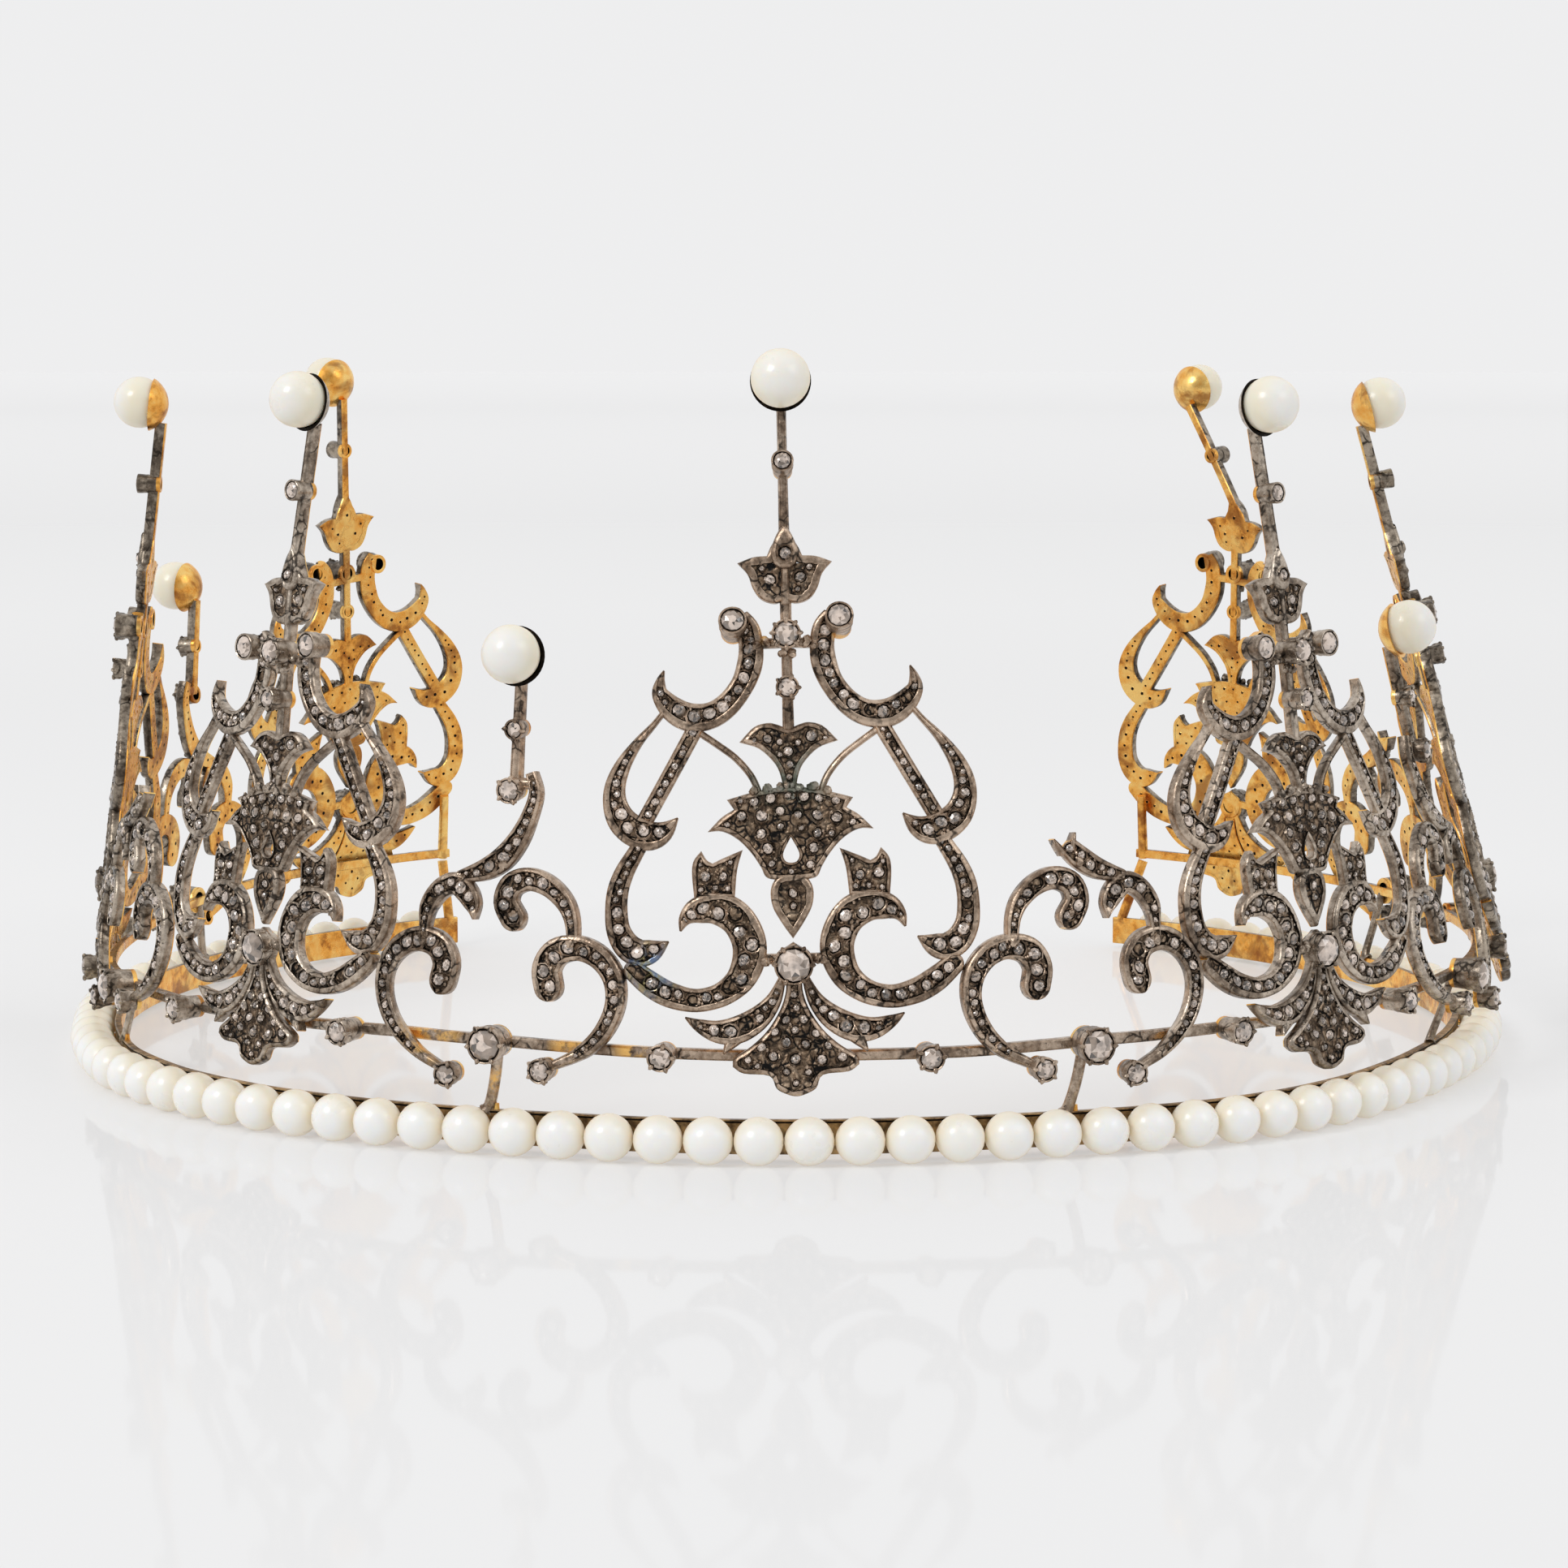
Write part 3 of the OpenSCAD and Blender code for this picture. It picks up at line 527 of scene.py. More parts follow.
# The section of a scroll: gold at the back, silver sides with round shoulders, and between the rims a bed
# for the stones
scroll = {"rim": 0.47, "rimWander": 0.15, "rimUneven": 0.42, "leastRim": 0.06, "channelDepth": 0.26,
          "wall": 0.12, "steps": 5, "plainBelow": 0.56, "channelFades": 0.3, "thinBelow": 0.5,
          "tipWidth": 0.06,
          "capShares": (0.995, 0.95, 0.85, 0.7, 0.5, 0.25)}
# the channel's inner wall on each side is painted near-black, as shade
halfMarks = [onGold] + [onSilver] * 6 + [onDirtAndShade]
scrollMarks = halfMarks + [onBed, onBed] + halfMarks[::-1] + [onGold]
plainMarks = [onSilver if m in (onDirtAndShade, onBed) else m for m in scrollMarks]
front, back = -ring["thick"] / 2, ring["thick"] / 2


def rimWidths(x, z, w, rims, seed=None):
    # the rims wander as hand work does, and one may be broader than the other
    out = []
    for way, share in zip((1, -1), rims):
        rim = scroll["rim"] * share
        if seed is not None:
            rim *= 1 + scroll["rimUneven"] * noise.noise(Vector((x * 0.35, z * 0.35, seed + way * 7)))
            rim += scroll["rimWander"] * noise.noise(Vector((x * 2.1, z * 2.1, seed + way * 3)))
        out.append(clamp(rim, scroll["leastRim"], w * (0.36 + 0.13 * share)))
    return out


def shoulder(k, rim=None):
    # from a side's edge inward and from the front backward: the round shoulder up to a rim's crest
    middle, crest = 0.11 * k, 0.24 * k
    if rim is not None:
        middle, crest = min(middle, rim * 0.3), min(crest, rim * 0.55)
    return [(0.035 * k, 0.26 * k), (middle, 0.13 * k), (crest, 0.03 * k)]


def strokeProfile(stations, seed, rims):
    # half widths below plainBelow have no channel
    def at(i):
        x, z, w = stations[i]
        a, b = stations[max(i - 1, 0)], stations[min(i + 1, len(stations) - 1)]
        along = Vector((b[0] - a[0], b[1] - a[1])).normalized()
        side = Vector((-along.y, along.x))
        channel = clamp((w - scroll["plainBelow"]) / scroll["channelFades"])
        k = min(1.0, w / scroll["thinBelow"])
        widths = rimWidths(x, z, w, rims, seed)
        middle = (widths[0] - widths[1]) / 2

        def half(rim, inner):
            outside = [(-w + 0.10 * k, back), (-w, back - 0.16 * k), (-w, front + 0.42 * k)]
            rounded = [(-w + s, front + y) for s, y in shoulder(k, rim)]
            crest = [(-w + rim * 0.78, front - 0.03), (-w + rim, front + 0.04 * k)]
            wallFoot = min(-w + rim + scroll["wall"] * channel, inner - 0.01)
            foot = front + 0.04 + scroll["channelDepth"] * channel
            return outside + rounded + crest + [(wallFoot, foot)]
        left, right = half(widths[0], middle), half(widths[1], -middle)
        deep = front + (scroll["channelDepth"] - 0.04) * channel - 0.05 * (1 - channel)
        points = left + [(middle, deep)] + [(-s, y) for s, y in reversed(right)]
        marks = scrollMarks if channel > 0.2 else plainMarks
        return [Vector((x + side.x * s, y, z + side.y * s)) for s, y in points], marks
    return at


def addStroke(bm, rows, seed, caps="", rims=(1, 1), sunk=0.0):
    stations = smoothRows(rows, scroll["steps"])
    if "start" in caps:
        stations = roundedEnd(stations, True)
    if "end" in caps:
        stations = roundedEnd(stations, False)
    part = bmesh.new()
    sweep(part, stations, strokeProfile(stations, seed, rims))
    # a part that passes under its neighbour is a little thinner at the front
    bmesh.ops.scale(part, vec=(1, 1 - sunk / ring["thick"], 1), verts=part.verts, space=move(0, -back, 0))
    pour(bm, part)


# A rose-cut stone in its dark seat, and the grains that hold it
pave = {"smallest": 0.27, "largest": 0.68, "between": 0.12, "grain": 0.17, "kinds": 12, "seatKinds": 8,
        "empty": 0.04, "tip": 0.26, "stoneSunk": 0.03, "grainSunk": 0.10, "grainOut": 0.14,
        "leastHeight": 0.42, "seatHeight": 0.85, "hole": 0.38, "leastHole": 0.16, "largestHole": 0.24,
        "fullness": (0.66, 0.80, 0.90, 1.0, 1.0)}
# radius, height, points and turn of a small stone's rings, and each kind's share of lit, middle and shaded
# facets, painted light and shade
roseRings = [(1.0, 0.0, 9, 0.0), (0.98, 0.16, 9, 0.0), (0.60, 0.50, 6, 0.3), (0.30, 0.60, 5, 0.0)]
roseWeights = [(7, 3, 0), (4, 4, 2), (2, 6, 2), (1, 6, 3), (5, 4, 1), (1, 4, 5)]
seatProfile = [(0.9, -0.1), (0.92, 0.04), (1.22, 0.05), (1.36, 0.19), (1.54, -0.1)]
mouthProfile = [(0.0, 0.02), (1.27, 0.02), (0.98, -0.028), (0.0, -0.02)]


def shadeFacets(bm, dice, weights):
    # painted light and shade: each facet takes the lit, middle or shaded stone finish at random
    for f in bm.faces:
        f.material_index = dice.choices((0, 1, 2), weights)[0]


def roseShape(seed):
    def build(bm):
        dice = random.Random(seed)
        for r, z, count, start in roseRings:
            for k in range(count):
                a = 2 * math.pi * k / count + start
                x, y = r * math.cos(a) * dice.uniform(0.94, 1.0), r * math.sin(a) * dice.uniform(0.94, 1.0)
                bm.verts.new((x, y, z))
        bmesh.ops.convex_hull(bm, input=bm.verts)
        shadeFacets(bm, dice, roseWeights[seed % 6])
    return build


def seatShape(seed):
    # a seat painted black, partly dirt and partly painted shade round the stone, and outside it a low lip
    # of metal, worn and pushed about
    def build(bm):
        lathe(bm, seatProfile, [onDirtAndShade, onDirtAndShade, onSilver, onSilver, onDirtAndShade], 9)
        for v in bm.verts:
            if math.hypot(v.co.x, v.co.y) > 1.1:
                push = 1 + 0.16 * noise.noise(Vector((v.co.x * 0.9, v.co.y * 0.9, seed * 3.1)))
                v.co.x, v.co.y = v.co.x * push, v.co.y * push
                if v.co.z > 0.1:
                    v.co.z += 0.24 * noise.noise(Vector((v.co.x * 1.1, v.co.y * 1.1, seed * 7.7 + 2)))
    return build


def grainShape(bm):
    bmesh.ops.create_icosphere(bm, subdivisions=1, radius=1.0)


def beadShape(bm):
    bmesh.ops.create_uvsphere(bm, u_segments=8, v_segments=5, radius=1.0)
    for v in bm.verts:
        v.co *= 1 + 0.22 * noise.noise(v.co * 1.7 + Vector((3, 1, 2)))


def lathe(bm, profile, marks, segments):
    # a closed profile of radius and height turned round the z axis
    spot = bm.verts.layers.int.new("spot")
    loop = []
    for k, (r, z) in enumerate(profile):
        v = bm.verts.new((r, 0, z))
        v[spot] = k
        loop.append(v)
    edges = [bm.edges.new((loop[k], loop[k + 1])) for k in range(len(loop) - 1)]
    edges.append(bm.edges.new((loop[-1], loop[0])))
    bmesh.ops.spin(bm, geom=loop + edges, cent=(0, 0, 0), axis=(0, 0, 1), angle=2 * math.pi, steps=segments,
                   use_merge=True)
    last = len(profile) - 1
    for f in bm.faces:
        a, b = min(v[spot] for v in f.verts), max(v[spot] for v in f.verts)
        f.material_index = marks[last if a == 0 and b == last else a]
    bmesh.ops.remove_doubles(bm, verts=bm.verts, dist=1e-4)
    bmesh.ops.dissolve_degenerate(bm, edges=bm.edges, dist=1e-4)
    bm.verts.layers.int.remove(spot)


roses = [template(roseShape(50 + k)) for k in range(pave["kinds"])]
seats, grain = [template(seatShape(k)) for k in range(pave["seatKinds"])], template(grainShape)
# the mouth of a hole drilled through the gold: a low lip round a flat middle painted dark as the hole's
# shade; no hole is cut
drilled = template(lambda bm: lathe(bm, mouthProfile, [onGold, onGold, onDirtAndShade, onDirtAndShade], 8))
bead = template(beadShape)


def outward(x, z, y=0.0):
    # turns a template's z axis to the plate's front, at a spot of the plate
    return move(x, y, z) @ turn(90, "X")


def setStone(metal, stones, dice, x, z, r, grains, floor, empty=False):
    tipX, tipY = (Matrix.Rotation(dice.uniform(-pave["tip"], pave["tip"]), 4, axis) for axis in "XY")
    spot = outward(x, z, floor - pave["stoneSunk"]) @ (tipX @ tipY) @ anyTurn(dice)
    if not empty:
        kind, width, high = dice.choice(roses), r * dice.uniform(0.82, 1.0), max(r, pave["leastHeight"])
        stamp(stones, kind, spot @ swell(r, width, high * dice.uniform(0.8, 1.15)))
    stamp(metal, dice.choice(seats), spot @ swell(r, r * dice.uniform(0.9, 1.0), pave["seatHeight"]))
    for k in range(grains):
        a = dice.uniform(0, 6.28)
        size, out = pave["grain"] * dice.uniform(0.75, 1.3), r + pave["grainOut"]
        spot = outward(x + math.cos(a) * out, z + math.sin(a) * out, floor - pave["grainSunk"])
        stamp(metal, grain, spot @ swell(size, size * dice.uniform(0.7, 1.2), size * 1.1))
    hole = clamp(r * pave["hole"], pave["leastHole"], pave["largestHole"])
    stamp(metal, drilled, outward(x, z, back + 0.012) @ swell(hole, hole, 1))


def paveStroke(metal, stones, rows, seed, room=(0.0, 0.0), rims=(1, 1), sunk=0.0):
    # stones along a scroll's channel, in one row where it is narrow and staggered where it is wide
    dice = random.Random(seed)
    line = smoothRows(rows, 12)
    lengths = [0.0]
    for a, b in zip(line, line[1:]):
        lengths.append(lengths[-1] + math.dist(a[:2], b[:2]))
    total, at, flip = lengths[-1] - room[1], room[0], dice.choice((-1, 1))
    floor = front + scroll["channelDepth"] + sunk
    while at < total:
        i = min(range(len(line)), key=lambda k: abs(lengths[k] - at))
        x, z, w = line[i]
        low, high = rimWidths(x, z, w, rims)
        inside = w - (low + high) / 2 + 0.02
        if inside < pave["smallest"] or w < scroll["plainBelow"] + 0.08:
            at += 0.3
            continue
        r = inside * dice.choice(pave["fullness"]) * dice.uniform(0.92, 1.04)
        r = clamp(r, pave["smallest"], pave["largest"])
        a, b = line[max(i - 1, 0)], line[min(i + 1, len(line) - 1)]
        along = Vector((b[0] - a[0], b[1] - a[1])).normalized()
        side = (low - high) / 2 + flip * max(0.0, inside - r) * 0.8
        empty = dice.random() < pave["empty"]
        grains, x2, z2 = 2 if r < 0.4 else 3, x - along.y * side, z + along.x * side
        setStone(metal, stones, dice, x2, z2, r, grains, floor, empty)
        if inside - r > 0.22:
            # two grains in the room that is left beside the stone
            for shift in (-0.3, 0.35):
                other = (low - high) / 2 - flip * (inside - 0.2 - dice.uniform(0, 0.2))
                size = dice.uniform(0.14, 0.24)
                x2, z2 = x - along.y * other + along.x * shift, z + along.x * other + along.y * shift
                stamp(metal, grain, outward(x2, z2, floor - pave["grainSunk"]) @ swell(size, size, size))
        flip = -flip
        at += r * 1.75 + pave["between"] + dice.uniform(0.1, 0.55)


# Flat shapes such as the tulip and the thistle: a dark sunk field inside a rim that follows the outline
leafRim = {"width": 0.50, "sunk": 0.22, "sharp": 58, "uneven": 0.22, "wall": 0.12, "holeShare": 0.55,
           "steps": 4}
# the rim's inner wall faces are painted near-black, as shade
rimMarks = [onGold] + [onSilver] * 6 + [onDirtAndShade, onDirtAndShade, onGold]


def easedOutline(points):
    # a smooth closed line that keeps the corners sharper than leafRim's angle
    count, out = len(points), []

    def isSharp(i):
        a, b, c = (Vector(points[(i + k) % count]) for k in (-1, 0, 1))
        return (b - a).angle(c - b, 0) > math.radians(leafRim["sharp"])
    for i in range(count):
        b, c = Vector(points[i]), Vector(points[(i + 1) % count])
        a = b - (c - b) if isSharp(i) else Vector(points[i - 1])
        d = c + (c - b) if isSharp((i + 1) % count) else Vector(points[(i + 2) % count])
        for j in range(leafRim["steps"]):
            out.append(between(a, b, c, d, j / leafRim["steps"]))
    return out


def roomInside(points, i, inward):
    # how far the line across the shape runs before it meets the other side
    start, count, best = points[i], len(points), 9.0
    for k in range(count):
        if k in (i, (i - 1) % count):
            continue
        a, b = points[k], points[(k + 1) % count]
        edge = b - a
        cross = inward.x * edge.y - inward.y * edge.x
        if abs(cross) < 1e-9:
            continue
        away = a - start
        t = (away.x * edge.y - away.y * edge.x) / cross
        u = (away.x * inward.y - away.y * inward.x) / cross
        if t > 1e-4 and -0.001 <= u <= 1.001:
            best = min(best, t)
    return best


def addRim(bm, eased, width, lift):
    # a rim along a closed line, the metal on its left as it is walked; returns the line of its inner edge
    count = len(eased)
    inwards, widths = [], []
    for i in range(count):
        along = (eased[(i + 1) % count] - eased[i - 1]).normalized()
        inwards.append(Vector((-along.y, along.x)))
        uneven = 1 + leafRim["uneven"] * noise.noise(Vector((eased[i].x * 1.9, eased[i].y * 1.9, width)))
        widths.append(min(width * uneven, 0.48 * roomInside(eased, i, inwards[i])))

    def rimProfile(i):
        i %= count
        p, n, w = eased[i], inwards[i], widths[i]
        k = min(1.0, w / 0.4)
        outside = [(0.08 * k, back), (0.0, back - 0.16), (0.0, front + 0.42 - lift)]
        rounded = [(s, front + y - lift) for s, y in shoulder(k)]
        crest = [(w * 0.78, front - 0.03 - lift), (w, front + 0.04 * k - lift)]
        half = outside + rounded + crest + [(w + leafRim["wall"], front + 0.34 - lift), (w, back)]
        return [Vector((p.x + n.x * s, y, p.y + n.y * s)) for s, y in half], rimMarks
    rim = bmesh.new()
    sweep(rim, range(count), rimProfile, closed=True)
    pour(bm, rim)
    return [Vector((p.x + n.x * w * 0.6, p.y + n.y * w * 0.6)) for p, n, w in zip(eased, inwards, widths)]


def turned(points, anticlockwise):
    area = sum(a.x * b.y - b.x * a.y for a, b in zip(points, points[1:] + points[:1]))
    return points if (area > 0) == anticlockwise else list(reversed(points))


def addLeaf(bm, points, width=leafRim["width"], hole=None, field=onBed, sunk=leafRim["sunk"], lift=0.0):
    lines = [addRim(bm, turned(easedOutline(points), True), width, lift)]
    if hole:
        lines.append(addRim(bm, turned(easedOutline(hole), False), width * leafRim["holeShare"], lift))
    plate = bmesh.new()
    rings = []
    for y in (front + sunk - lift, back - 0.03):
        level = []
        for line in lines:
            verts = [plate.verts.new((p.x, y, p.y)) for p in line]
            level.append([plate.edges.new((a, b)) for a, b in zip(verts, verts[1:] + verts[:1])])
        rings.append(level)
    for level, index in zip(rings, (field, onGold)):
        outlines = [e for edges in level for e in edges]
        for f in only(faceKind, bmesh.ops.triangle_fill(plate, use_beauty=True, edges=outlines)["geom"]):
            f.material_index = index
    for a, b in zip(*rings):
        bmesh.ops.bridge_loops(plate, edges=a + b)
    pour(bm, plate)


def addLumps(bm, spots, seed):
    # small uneven beads of solder, two at each spot
    dice = random.Random(seed)
    for x, y, z, r in spots:
        for k in range(2):
            size = [r * dice.uniform(0.7, 1.1) for _ in range(3)]
            angle, axis = dice.uniform(0, 6.28), Vector((dice.random(), dice.random(), dice.random() + 0.1))
            spin = Matrix.Rotation(angle, 4, axis.normalized())
            place = move(x + dice.uniform(-0.3, 0.3) * r, y, z + dice.uniform(-0.4, 0.4) * r)
            stamp(bm, bead, place @ spin @ swell(*size))


# Collets, raised tubes with a stone: spun from a profile, with claws round the larger ones
colletLook = {"wall": 0.20, "gap": 0.09, "seat": 0.34, "segments": 24, "backHole": 0.55, "neck": 0.86,
              "stoneSunk": 0.14, "stoneHeight": 0.85,
              "claw": (0.33, 0.25, 0.28), "clawLeg": (0.18, 0.18, 0.6)}
# radius, height, points and turn of a large stone's rings: girdle, sixteen crown facets and table
bigRings = [(0.97, -0.25, 12, 0.0), (1.0, 0.0, 12, 0.0), (0.97, 0.06, 12, 0.0), (0.70, 0.33, 8, 0.39),
            (0.36, 0.44, 8, 0.0)]
# each big stone kind's share of lit, middle and shaded facets, painted light and shade
bigWeights = [(6, 3, 1), (4, 5, 1), (8, 2, 1), (3, 5, 2)]


def colletShape(radius, length):
    # from the back of the plate at z 0 to the front edge at z = length, for stamping
    wall, seat, hollow = colletLook["wall"], colletLook["seat"], radius * colletLook["backHole"]
    neck = radius * colletLook["neck"]
    inBack = [(0.0, 1.1), (hollow, 1.0), (hollow, 0.06), (radius * 0.66, 0.0), (neck * 0.96, 0.0)]
    outside = [(neck, 0.10), (neck, 0.5), (radius * 0.90, length * 0.45), (radius * 0.97, length * 0.55),
               (radius * 0.95, length * 0.62), (radius, length - 0.30), (radius * 0.99, length - 0.06)]
    inFront = [(radius - wall * 0.45, length), (radius - wall, length - 0.08),
               (radius - wall * 1.15, length - seat), (0.0, length - seat - 0.05)]
    # the back hollow and the seat under the stone are painted near-black, as shade
    marks = [onDirtAndShade] * 2 + [onGold] * 4 + [onSilver] * 7 + [onDirtAndShade] * 3
    return template(lambda bm: lathe(bm, inBack + outside + inFront, marks, colletLook["segments"]))


def bigStoneShape(seed, weights):
    def build(bm):
        dice = random.Random(seed)
        for r, z, count, start in bigRings:
            for k in range(count):
                a = 2 * math.pi * k / count + start
                uneven = dice.uniform(-0.02, 0.02) * (z > 0.1 and r > 0.5)
                bm.verts.new((r * math.cos(a), r * math.sin(a), z + uneven))
        bmesh.ops.convex_hull(bm, input=bm.verts)
        shadeFacets(bm, dice, weights)
        # the table always takes the lit finish, a painted highlight
        for f in bm.faces:
            if f.calc_center_median().z > 0.42:
                f.material_index = 0
    return build


bigStoneKinds = [template(bigStoneShape(70 + k, w)) for k, w in enumerate(bigWeights)]


def addCollet(metal, stones, matrix, radius, length, claws, dice):
    # the matrix puts z 0 on the plate's back with z toward the front
    shape = colletShape(radius, length)
    stamp(metal, shape, matrix)
    bpy.data.meshes.remove(shape)
    r, kind = radius - colletLook["wall"] - colletLook["gap"], dice.choice(bigStoneKinds)
    seat = matrix @ move(0, 0, length - colletLook["stoneSunk"]) @ anyTurn(dice)
    stamp(stones, kind, seat @ swell(r, r * dice.uniform(0.94, 1.0), r * colletLook["stoneHeight"]))
    for k in range(claws):
        a = 2 * math.pi * (k + dice.uniform(-0.12, 0.12)) / claws
        spot = matrix @ Matrix.Rotation(a, 4, "Z")
        claw = move(radius - 0.10, 0, length - 0.04) @ swell(*colletLook["claw"])
        stamp(metal, bead, spot @ claw)
        stamp(metal, grain, spot @ move(radius - 0.02, 0, length - 0.5) @ swell(*colletLook["clawLeg"]))


def plateCollet(x, z, stand, droop=8):
    # a collet's matrix and length, with the same turn and droop as in the part's source, on the bent plate
    seat = move(x, 0, z) @ turn(90 + droop, "X") @ move(0, 0, -ring["thick"] / 2 - 0.1)
    return move(0, bend(x), 0) @ seat, ring["thick"] + 0.1 + stand


cup = {"inner": 3.12, "outer": 3.42, "rim": 1.45, "low": 0.1, "stand": 2.8, "peg": 0.4, "pegLength": 3.0,
       "pegOut": 1.8, "steps": 7, "segments": 40, "goldPast": 60}


def addCup(metal, x, z, angle):
    # a shallow gold cup behind a pearl, its inside painted dark as shade under the pearl, and its edge
    # silver at the front of the ring
    def arc(radius, steps):
        opening = math.acos(cup["rim"] / radius)
        turns = [opening * k / cup["steps"] for k in steps]
        return [(radius * math.sin(t), -radius * math.cos(t)) for t in turns]
    whole = cup["steps"] + 1
    profile = arc(cup["outer"], range(whole)) + arc(cup["inner"], reversed(range(whole)))
    edge, lip = (onGold, onGold) if abs(angle) > cup["goldPast"] else (onSilver, onDirtAndShade)
    part = bmesh.new()
    lathe(part, profile, [onGold] * 4 + [edge] * 3 + [lip] * 3 + [onDirtAndShade] * 6, cup["segments"])
    pour(metal, part, outward(x, z - cup["low"], -cup["stand"]))
    part = bmesh.new()
    bmesh.ops.create_cone(part, cap_ends=True, segments=12, radius1=cup["peg"], radius2=cup["peg"],
                          depth=cup["pegLength"], matrix=outward(x, z, -cup["stand"] + cup["pegOut"]))
    mark(part, onGold)
    pour(metal, part)


def pearlShape(radius, segments, rings, hole, seed):
    # a sphere with a drilled hole at its lower pole, a touch out of round
    def build(bm):
        bm.loops.layers.uv.new("UVMap")
        bmesh.ops.create_uvsphere(bm, u_segments=segments, v_segments=rings, radius=radius, calc_uvs=True)
        pole = min(bm.verts, key=lambda v: v.co.z)
        bmesh.ops.delete(bm, geom=[pole], context="VERTS")
        rimEdges = [e for e in bm.edges if e.is_boundary]
        for v in {v for e in rimEdges for v in e.verts}:
            flat = Vector((v.co.x, v.co.y)).normalized() * hole
            v.co.x, v.co.y, v.co.z = flat.x, flat.y, -math.sqrt(radius * radius - hole * hole)
        made = bmesh.ops.extrude_edge_only(bm, edges=rimEdges)["geom"]
        deep = only(vertKind, made)
        bmesh.ops.translate(bm, vec=(0, 0, radius * 0.9), verts=deep)
        innerEdges = [e for e in only(edgeKind, made) if e.verts[0] in deep and e.verts[1] in deep]
        bmesh.ops.contextual_create(bm, geom=innerEdges)
        for v in bm.verts:
            if v not in deep:
                v.co *= 1 + 0.012 * noise.noise(v.co * (0.55 / radius) * 2.2 + Vector((seed, 0, 0)))
    return build


